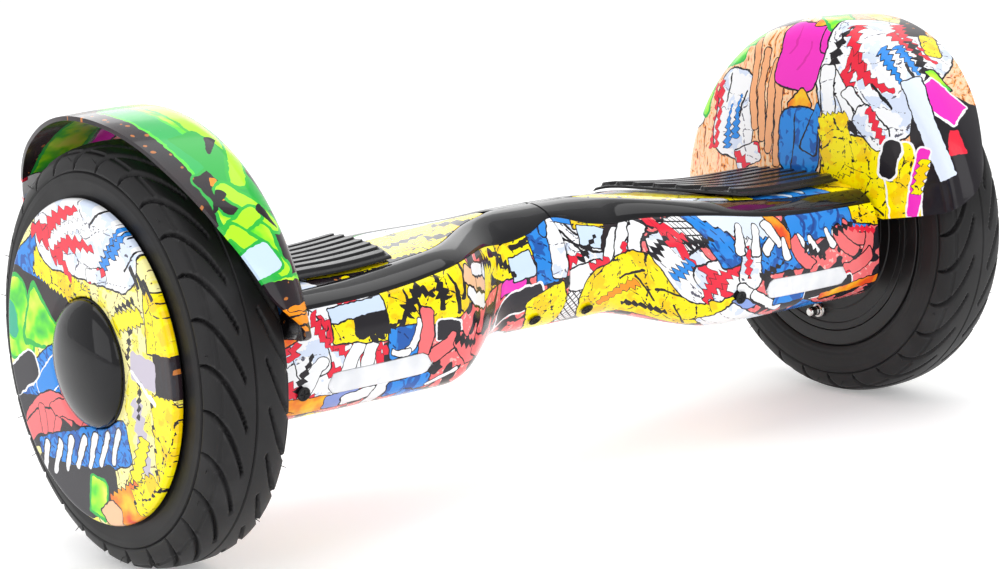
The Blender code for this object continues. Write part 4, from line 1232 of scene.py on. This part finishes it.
def print_right_body():
    """Right half. The chart's X is along the board and its Y is up the front from the belly's middle."""
    p = Print("print_right_body", "Blotch")
    p.paint("White", (24, 84), (34, 26), 0, corner=4, line=0)
    p.paint("Lattice", (8, 36), (12, 16), 10, corner=3)
    p.paint(WHITE, (14, 58), (16, 8), 8, corner=7)
    p.strokes(INK, [(8, 92, -60), (18, 84, -52), (14, 76, -25), (4, 84, -58)], (20, 0.9), bend=0.008,
              line=0)
    p.paint(BLUE, (10, 99), (12, 4), -24)
    p.paint("Yellow", (28, 90), (16, 4.5), -18, corner=1)
    p.paint(SKY, (26, 82), (13, 7), -14, corner=1)
    p.paint("Night", (42, 84), (8, 16), -30, line=0)
    p.strokes(WHITE, [(36, 74, 60), (46, 78, 64), (56, 80, 76)], (16, 3.6), bend=-0.01)
    p.strokes(RED, [(47, 68, 80), (4, 70, 10), (26, 64, 20)], (9, 3.0), taper=-0.5, jag=2.2, line=0.5)
    p.paint("Yellow", (56, 46), (44, 24), 18, corner=18, line=1.1)
    p.paint("Yellow", (96, 66), (24, 10), 42, corner=8, line=1.1)
    p.paint("Yellow", (58, 44), (38, 18), 18, corner=14, line=0)
    p.strokes(INK, [(52, 56, 30), (62, 50, -35), (76, 58, 30), (88, 46, -40)], (10, 0.8), line=0)
    p.paint(ORANGE, (44, 42), (16, 3.0), 30, jag=2, line=0.6)
    p.paint(INK, (66, 36), (15, 2.4), 20, jag=2, line=0)
    p.paint("White", (84, 84), (20, 17), 55, corner=12, line=1.1)
    p.paint("Lattice", (86, 110), (18, 7.5), 58, corner=1)
    p.strokes(RED, [(74, 98, -35), (82, 92, -28), (79, 102, 10)], (9, 3.4), taper=-0.4, jag=2.8, line=0.4)
    p.paint(BLUE, (82, 80), (13, 1.8), 62, jag=2, line=0.7)
    p.paint("Splinter", (108, 98), (26, 9), 52, corner=8, line=1.1)
    p.paint(RED, (103, 92), (22, 2.6), 55, bend=-0.01, jag=2.2, line=0.6)
    p.paint("Stitched", (101, 122), (20, 10), -55, corner=2)
    p.paint("White", (128, 110), (20, 10), 80, corner=8, line=1.1)
    p.paint(RED, (124, 108), (10, 2.4), 84, jag=2.2, line=0.4)
    p.paint("Stitched", (158, 112), (22, 14), 0, corner=3)
    p.paint((0.74, 0.82, 0.95), (126, 134), (30, 9), -8, corner=5, jag=2.0, line=1.0)
    p.strokes(WHITE, [(118, 124, 84), (132, 122, 80), (146, 120, 50), (148, 124, -60)], (11, 3.2),
              taper=-0.3)
    p.paint("Ember", (156, 127), (16, 4), -62)
    p.paint("Blue", (202, 126), (38, 10), 2, corner=2, line=1.1)
    p.strokes((0.01, 0.06, 0.30), [(178, 126, 84), (188, 127, 70), (212, 128, 60)], (9, 1.1), bend=0.03,
              line=0)
    p.paint("Yellow", (240, 128), (15, 9), -12, corner=4)
    p.strokes(WHITE, [(158, 112, -75), (174, 114, -62), (184, 112, -60), (200, 114, -60), (208, 113, -50)],
              (8, 2.3), bend=0.01, taper=0.3, line=0.9)
    p.strokes(SALMON, [(172, 106, -50), (224, 112, -30), (236, 100, 60), (214, 108, -45), (228, 92, 20)],
              (14, 4.4), bend=0.02, line=0.9)
    p.paint(RED, (232, 116), (14, 2), -12, jag=2, line=0)
    p.paint((0.25, 0.36, 0.75), (122, 80), (10, 6), 20)
    p.strokes(WHITE, [(130, 84, -30), (142, 78, -30)], (18, 3.2))
    p.paint("Blue", (166, 80), (17, 6), 4)
    p.paint(RED, (204, 86), (16, 1.8), 3, line=0.5)
    p.paint(INK, (200, 79), (22, 5), 6, line=1.0, ink=WHITE)
    p.paint("Ember", (222, 76), (28, 3), 8, line=0.8)
    p.strokes(INK, [(18, 76, 40), (70, 84, 64), (146, 100, 20), (186, 106, -30), (216, 120, 10),
                    (92, 108, 50)], (12, 2.0), taper=-0.6, jag=2, line=0)
    p.paint("White", (130, 52), (30, 16), -30)
    p.paint("Blue", (196, 44), (30, 18), -28)
    p.paint("Splinter", (228, 30), (22, 20), -30)
    p.paint("Yellow", (150, 16), (34, 14), -18)
    add_back_art(p, 1)
    return p.finish()


def add_back_art(p, side):
    """Back of a half, on the far side of the belly's middle, mirrored for the left half."""
    def put(fill, places, half, **options):
        p.strokes(fill, [(side * x, y, side * angle) for x, y, angle in places], half, **options)

    put("Yellow", [(60, -60, 14)], (46, 26), corner=12, line=1.1)
    put("White", [(112, -92, 24)], (30, 20), corner=12, line=1.1)
    put(RED, [(100, -92, 40), (116, -86, 32), (126, -100, 48)], (18, 2.6), jag=2.4, line=0.4)
    put("Stitched", [(160, -70, -30)], (26, 18), line=1.1)
    put(WHITE, [(150, -64, 60), (162, -72, 58), (174, -78, 62)], (14, 3))
    put("Wood", [(205, -112, 20)], (34, 18), line=1.1)
    put("Glow", [(216, -72, -34)], (26, 14), corner=6, line=2.2, ink=GREEN)
    put(MAGENTA, [(176, -122, 40)], (16, 10), line=1.1)
    put("Night", [(28, -98, -18)], (20, 12), line=1.4, ink=WHITE)
    put("Lattice", [(140, -116, 52)], (18, 8), corner=1)
    put("Stitched", [(78, -118, 30), (236, -100, 70)], (18, 8))


def print_left_deck():
    """Left deck shell. The chart's Y runs forward over the top from the middle."""
    p = Print("print_left_deck", "White")
    p.paint("Yellow", (-92, 20), (50, 30), 10, corner=6)
    p.strokes(INK, [(-64, 6, 24), (-84, 26, 14), (-110, 12, -8), (-58, 24, 60)], (16, 3.4), taper=-0.5,
              jag=3, line=0)
    p.paint("Yellow", (-158, 38), (44, 8), 4)
    p.paint("Night", (-180, 50), (54, 8), 5, corner=1, line=0)
    p.strokes(YELLOW, [(-176, 50, 30), (-164, 48, -24), (-150, 50, 40), (-140, 46, 10)], (7, 2.2), jag=2,
              line=0)
    p.paint(INK, (-132, 44), (14, 5), 10, jag=2, line=0)
    p.paint("White", (-224, 46), (18, 12), -14)
    p.paint(RED, (-233, 46), (13, 4), -34, jag=2, line=0.5)
    p.paint("Blue", (-220, 14), (24, 14), 12)
    p.paint("Stitched", (-150, -48), (40, 12), -6)
    p.paint("Blotch", (-214, -44), (34, 18), 10, line=1.1)
    p.paint("Glow", (-110, -46), (20, 7), -16, corner=5, line=2.0, ink=GREEN)
    return p.finish()


def print_right_deck():
    """Right deck shell. The chart's Y runs forward over the top from the middle."""
    p = Print("print_right_deck", "Yellow")
    p.strokes(INK, [(64, 16, -40), (80, 34, 10), (92, 30, -18)], (9, 1.2), jag=2, line=0)
    p.paint("White", (116, 42), (22, 8), 6)
    p.strokes(INK, [(104, 42, 30), (112, 40, -34)], (9, 0.9), line=0)
    p.paint("Blue", (196, 36), (34, 16), 6)
    p.strokes(SKY, [(184, 40, 40), (200, 36, 52), (176, 34, 8)], (12, 2.4), bend=0.02, line=0.8)
    p.paint("Yellow", (236, 30), (16, 28), -12)
    p.strokes(INK, [(232, 44, 20), (240, 32, 50)], (9, 0.9), line=0)
    p.paint("White", (84, -22), (26, 16), -18, corner=8, line=1.1)
    p.paint(RED, (88, -22), (18, 2.4), -18, jag=3, line=0.4)
    p.paint("Stitched", (150, -48), (40, 12), 6)
    p.paint("Blotch", (214, -44), (34, 18), -10, line=1.1)
    return p.finish()


def print_left_fender():
    """Left mudguard. The chart's X runs round the wheel and its Y out over the crown, from the axle."""
    p = Print("print_left_fender", "Night")
    p.paint("Blotch", (-60, 100), (120, 44), 4, corner=20)
    p.paint("White", (70, 88), (60, 44), -8, corner=24, line=1.2)
    p.strokes(RED, [(40, 90, 60), (62, 84, 56), (84, 78, 60)], (26, 4), bend=0.006, jag=3, line=0.4)
    p.paint("Wood", (-120, 70), (50, 40), 20)
    p.paint("Stitched", (150, 80), (40, 34), 20)
    p.paint(MAGENTA, (-40, 146), (64, 5), 1, line=1.2)
    p.paint(MAGENTA, (26, 142), (20, 4), -4, taper=-0.5, line=1.2)
    p.paint("Glow", (20, 168), (150, 13), 0, corner=6, line=2.6, ink=GREEN)
    p.paint((0.02, 0.48, 0.10), (52, 178), (52, 8), -6, corner=6, line=2.0, ink=(0.10, 0.80, 0.05))
    p.paint(LIME, (30, 158), (70, 6.5), -4, bend=0.0008, line=2.2, ink=(0.05, 0.55, 0.05))
    p.paint("Night", (112, 170), (16, 12), -20, corner=5, line=1.8, ink=GREEN)
    p.strokes(ORANGE, [(106, 174, 20), (113, 168, -30), (118, 174, 70)], (3.4, 1.9), line=0.4)
    p.paint(GREEN, (96, 162), (36, 11), -14, line=0)
    p.strokes(LIME, [(92, 152, 24), (126, 160, -38), (140, 176, 60), (154, 166, -40)], (21, 4.6), corner=3,
              line=2.2, ink=(0.03, 0.50, 0.05))
    p.strokes(INK, [(76, 160, 30), (134, 152, -30), (120, 178, 40)], (9, 2.2), taper=-0.6, line=0)
    p.paint((0.60, 0.76, 0.95), (162, 172), (15, 9), 72, corner=3, line=1.8, ink=GREEN)
    p.paint("Glow", (178, 160), (20, 4.5), 84, corner=2, line=1.8, ink=GREEN)
    p.paint("Night", (186, 150), (12, 24), 0, line=0)
    p.strokes(ORANGE, [(192, 160, 88), (198, 154, 84), (204, 160, 92), (190, 144, 88)], (15, 2.2),
              taper=-0.4, line=0.7)
    p.paint("Splinter", (-150, 166), (34, 18), 8, corner=4, line=1.1)
    p.paint("Yellow", (-198, 158), (22, 24), 0, line=1.1)
    return p.finish()


def print_right_fender():
    """Right mudguard. The chart is its inner face seen from the board, carried on over the crown."""
    p = Print("print_right_fender", "Wood")
    p.paint("White", (-142, 84), (24, 26), 20, corner=14, line=1.1)
    p.strokes(RED, [(-136, 76, 50), (-98, 72, 92)], (24, 3), bend=0.008, jag=3, line=0.4)
    p.paint("Glow", (-102, 118), (32, 9), 12, corner=5, line=2.2, ink=GREEN)
    p.paint("Glow", (-84, 132), (30, 6), 8, corner=5, line=2.2, ink=GREEN)
    p.paint("Glow", (-114, 88), (6, 16), -12, corner=5, line=2.0, ink=GREEN)
    p.paint("Night", (-64, 152), (46, 14), 10, corner=12, line=0)
    p.paint(MAGENTA, (-76, 166), (46, 10), 22, bend=-0.002, corner=6, line=1.3)
    p.paint(ORANGE, (-52, 186), (30, 5), 24, bend=-0.003, line=1.1)
    p.paint("White", (-74, 76), (24, 32), -6, corner=18, line=1.3)
    p.paint(RED, (-94, 74), (26, 3), 92, jag=3, line=0.4)
    p.strokes(BLUE, [(-78, 66, 84), (-68, 74, 80)], (17, 2.2), taper=-0.6, jag=2, line=0.8)
    p.strokes(INK, [(-62, 84, 70), (-84, 94, 84)], (11, 1.0), line=0)
    p.paint("Splinter", (-56, 46), (14, 7), 20, line=0.9)
    p.strokes((0.90, 0.42, 0.20), [(-42, 92, 92), (-32, 84, 86), (-52, 100, 96), (-24, 74, 88)], (34, 3.4),
              line=1.0)
    p.paint(MAGENTA, (-6, 122), (22, 25), -6, corner=12, line=1.4)
    p.paint(MAGENTA, (18, 140), (5, 15), -8, corner=2, line=1.4)
    p.strokes((0.70, 0.02, 0.38), [(-12, 132, 70), (0, 120, 64)], (12, 1.0), bend=0.02, line=0)
    p.paint("Ember", (7, 149), (7, 4), 8, corner=1, line=1.0)
    p.paint("Ember", (-2, 86), (10, 8), 40, line=1.2)
    p.paint("Blue", (-2, 60), (20, 24), 0, corner=14, line=1.4)
    p.paint("Blue", (12, 70), (18, 5), 74, taper=-0.6, line=1.2)
    p.paint(INK, (-7, 60), (20, 0.6), 86, bend=0.003, line=0)
    p.paint("Glow", (-8, 174), (44, 9), -38, corner=6, line=2.4, ink=GREEN)
    p.paint("Pale", (18, 192), (36, 9), -20, corner=6, line=0.8)
    p.paint("White", (66, 122), (48, 56), -8, corner=34, line=1.5)
    p.paint("Night", (62, 186), (26, 9), -52, corner=4, line=1.0)
    p.paint("Yellow", (92, 160), (18, 7), -58, corner=4, line=1.1)
    p.strokes(RED, [(44, 128, -62), (58, 108, -30), (50, 92, -50), (82, 142, -22), (70, 158, -40)],
              (24, 3.6), bend=0.008, taper=-0.5, jag=3, line=0.6)
    p.strokes(WHITE, [(38, 96, -58), (58, 84, -50)], (22, 4.5), bend=-0.006, line=1.0)
    p.strokes(BLUE, [(76, 118, -48), (86, 126, -44)], (17, 2.6), taper=-0.6, jag=2, line=0.9)
    p.strokes(INK, [(94, 112, -50), (72, 96, -40)], (13, 1.1), line=0)
    p.strokes(INK, [(30, 132, 74), (26, 108, 98), (58, 74, 10), (88, 140, -50), (100, 120, -56)], (15, 3.0),
              taper=-0.5, jag=3, line=0)
    p.paint("White", (26, 86), (6, 30), 6, corner=4, line=1.2)
    p.paint("Yellow", (62, 36), (42, 30), -6, corner=14, line=1.4)
    p.paint("Yellow", (34, 60), (14, 22), 10, corner=6, jag=2, line=0.8)
    p.paint("White", (66, 74), (17, 9), -40, corner=6, line=1.2)
    p.paint(RED, (70, 76), (13, 3), -58, jag=2.4, line=0.4)
    p.strokes(INK, [(56, 24, 30), (70, 18, -30), (84, 26, 34)], (10, 0.8), line=0)
    p.paint("Yellow", (60, 2), (30, 9), -4, corner=8, line=1.2)
    p.paint("Glow", (112, 116), (11, 4), -38, corner=1, line=1.6, ink=INK)
    p.paint(INK, (132, 44), (34, 64), 0, corner=6, line=0)
    p.paint(MAGENTA, (118, 98), (17, 11), -24, corner=1, line=1.8, ink=WHITE)
    p.paint((0.72, 0.80, 0.95), (111, 76), (38, 7), -62, corner=1, line=1.0)
    p.paint(RED, (132, 68), (9, 5), -74, taper=0.3, corner=1, line=0)
    p.paint("Yellow", (94, 30), (13, 34), 10, corner=6, line=1.6, ink=WHITE)
    p.paint(INK, (83, 53), (14, 7.5), 76, corner=7, line=1.8, ink=WHITE)
    p.paint(MAGENTA, (106, 38), (24, 4.5), 80, corner=2, line=1.4, ink=WHITE)
    p.paint("Yellow", (108, 42), (13, 3.6), 78, jag=2, line=0.6)
    p.paint((0.20, 0.35, 0.75), (84, -8), (12, 6), 0, line=1.2)
    return p.finish()


# ------------------------------------------------------------------ the object
def build_half(name, side, looks):
    """One half: its shells and pad, and its wheel."""
    body, pad, wheel = f"{name}_half", f"{name}_pad", f"{name}_wheel"

    def put(part, shape, look, rides=body, slot="printed_shell", **options):
        piece = make(f"look_{name}_{part}", shape, looks[look], side, **options)
        return fit(piece, rides, f"{name}_{part}", slot=slot)

    put("upper_shell", upper_shell(side), "deck", bevel=0.0004)
    shell = put("lower_shell", lower_shell(side), "body", bevel=0.0004)
    if side > 0:
        bored(shell, [(SOCKET[0], SOCKET[2], 0.0093), (BUTTON[0], BUTTON[2], 0.0062)])
    put("trim", trim(side), "trim", slot="black_trim", bevel=0.0004)
    put("fender", fender(polar=side < 0), "fender", bevel=0.0009)
    put("led_lens", led_lens(side), "lens", slot="lens", bevel=0.0004)
    put("plug_inner", plug(0.022, math.radians(136.0)), "rubber", slot="pad_rubber")
    put("plug_outer", plug(0.116 if side > 0 else 0.234, math.radians(103.0)), "rubber", slot="pad_rubber")
    put("footpad", footpad(side), "pad", pad, slot="pad_rubber", smooth=60)
    put("tyre", tyre(), "tyre", wheel, slot="tyre", smooth=50)
    put("rim", rim(), "rim", wheel, slot="black_rim")
    put("motor_cover", motor_cover(), "rim", wheel, slot="black_rim")
    put("hub_cover", hub_cover(side), "disc", wheel)
    put("centre_cap", centre_cap(), "trim", wheel, slot="black_trim")
    put("valve", valve(), "chrome", wheel, slot="chrome")
    hairs = make(f"look_{name}_vent_hairs", vent_hairs(side), looks["tyre"], side)
    fit(hairs, wheel, slot="tyre")


def build_rear_controls(looks):
    """Charging socket with its pins and flap, and the power button, behind the right half."""
    fit(make("look_charge_socket", charge_socket(), looks["trim"]), "right_half", "charge_socket",
        slot="black_trim")
    fit(make("look_charge_pins", charge_pins(), looks["brass"]), "right_half", slot="chrome")
    fit(make("look_charge_cap", charge_cap(), looks["rubber"], bevel=0.0002), "charge_cap", "charge_cap",
        slot="pad_rubber")
    fit(make("look_power_button", power_button(), looks["rubber"]), "power_button", "power_button",
        slot="pad_rubber")


def finish_inner_nodes(looks):
    """CAD nodes whose shape is right keep it and get their finish here."""
    finishes = {"frame": "cast", "axle_clamp": "cast", "axle": "steel", "clamp_bolt_front": "steel",
                "clamp_bolt_back": "steel", "bearing_inner": "steel", "bearing_outer": "steel",
                "stator": "copper", "sensor_board": "board", "sensor_post_inner": "rubber",
                "sensor_post_outer": "rubber", "pivot_tube": "steel", "pivot_circlip": "steel",
                "pivot_bush": "rubber", "battery_pack": "wrap", "main_board": "board"}
    for node in frame["nodes"].values():
        part = node.name.removeprefix("left_").removeprefix("right_")
        if part in finishes:
            for material_slot in node.material_slots:
                material_slot.material = looks[finishes[part]]


def build():
    shared = {
        "trim": gloss_trim(),
        "pad": gloss_pad(),
        "rubber": moulded_rubber("moulded_rubber", (0.013, 0.013, 0.014), 0.50),
        "tyre": moulded_rubber("tyre_rubber", (0.012, 0.0115, 0.0125), 0.46, grain=1600.0, tone_and_highlight_lift=0.03),
        "rim": painted_metal("black_powder_coat", (0.012, 0.012, 0.013), 0.34),
        "cast": bare_metal("cast_aluminium", (0.55, 0.55, 0.57), 0.42, (500.0, 500.0, 500.0)),
        "steel": bare_metal("turned_steel", (0.60, 0.60, 0.62), 0.26),
        "chrome": bare_metal("chromed_brass", (0.80, 0.79, 0.77), 0.10),
        "brass": bare_metal("brass", (0.75, 0.55, 0.22), 0.22),
        "lens": frosted_lens(),
        "board": circuit_board(),
        "wrap": shrink_wrap(),
        "copper": copper_winding(),
    }
    disc = print_disc("print_wheel_disc")
    prints = {
        "left": {"body": print_left_body(), "deck": print_left_deck(),
                 "fender": print_left_fender(), "disc": disc},
        "right": {"body": print_right_body(), "deck": print_right_deck(),
                  "fender": print_right_fender(), "disc": disc},
    }
    for name, side in SIDES:
        build_half(name, side, {**shared, **prints[name]})
    build_rear_controls(shared)
    finish_inner_nodes(shared)


# ------------------------------------------------------------------ floor, light and camera
CAMERA_AZIMUTH = math.radians(-37.759)


def build_floor():
    """Plain pale floor that turns up into a backdrop far behind."""
    flat_to, bend, half_width = 3.5, 1.2, 9.0
    profile = [(-6.0, 0.0), (flat_to, 0.0)]
    profile += [(flat_to + bend * math.sin(a), bend - bend * math.cos(a))
                for a in np.radians(np.linspace(6, 90, 15))]
    profile += [(flat_to + bend, 6.0)]
    verts = [(x, y, z) for y, z in profile for x in (-half_width, half_width)]
    faces = [(2 * k, 2 * k + 1, 2 * k + 3, 2 * k + 2) for k in range(len(profile) - 1)]
    floor = make("studio_floor", (verts, faces, None), pale_floor())
    floor.rotation_euler = (0.0, 0.0, CAMERA_AZIMUTH)


def add_area_light(name, location, size, power):
    """A soft box that faces the object's middle."""
    light = bpy.data.lights.new(name, "AREA")
    light.shape = "RECTANGLE"
    light.size, light.size_y = size
    light.energy = power
    lamp = bpy.data.objects.new(name, light)
    lamp.location = location
    lamp.rotation_euler = (Vector((0.0, 0.0, 0.12)) - lamp.location).to_track_quat("-Z", "Y").to_euler()
    bpy.context.scene.collection.objects.link(lamp)


def build_lights():
    """Large soft boxes above and to the sides, with an even white surround."""
    add_area_light("top_box", (0.0, 0.1, 1.9), (2.2, 1.6), 17.0)
    add_area_light("front_box", (-0.6, -2.2, 1.1), (2.4, 1.2), 13.0)
    add_area_light("left_box", (-2.3, 0.1, 0.8), (1.8, 1.4), 9.0)
    add_area_light("back_box", (1.2, 2.3, 1.3), (2.2, 1.2), 10.0)
    world = bpy.data.worlds.new("white_surround")
    world.use_nodes = True
    surround = world.node_tree.nodes["Background"].inputs
    surround["Color"].default_value = (1.0, 1.0, 1.0, 1.0)
    surround["Strength"].default_value = 0.72
    bpy.context.scene.world = world


def build_camera():
    """Low three-quarter view from the left front, as in the photograph."""
    elevation, roll = math.radians(10.392), math.radians(-3.065)
    forward = Vector((-math.sin(CAMERA_AZIMUTH) * math.cos(elevation),
                      math.cos(CAMERA_AZIMUTH) * math.cos(elevation), -math.sin(elevation)))
    level = forward.cross(Vector((0, 0, 1))).normalized()
    above = level.cross(forward)
    right = level * math.cos(roll) + above * math.sin(roll)
    up = above * math.cos(roll) - level * math.sin(roll)
    camera = bpy.data.cameras.new("photo_camera")
    camera.lens = 93.99
    camera.sensor_width = 36.0
    camera.shift_x, camera.shift_y = -0.00362, -0.00069
    viewer = bpy.data.objects.new("photo_camera", camera)
    viewer.matrix_world = Matrix.Translation((-1.04913, -1.32398, 0.43352)) @ Matrix(
        (right, up, -forward)).transposed().to_4x4()
    bpy.context.scene.collection.objects.link(viewer)
    bpy.context.scene.camera = viewer


bpy.context.scene.view_settings.view_transform = "Standard"
build()
build_floor()
build_lights()
build_camera()
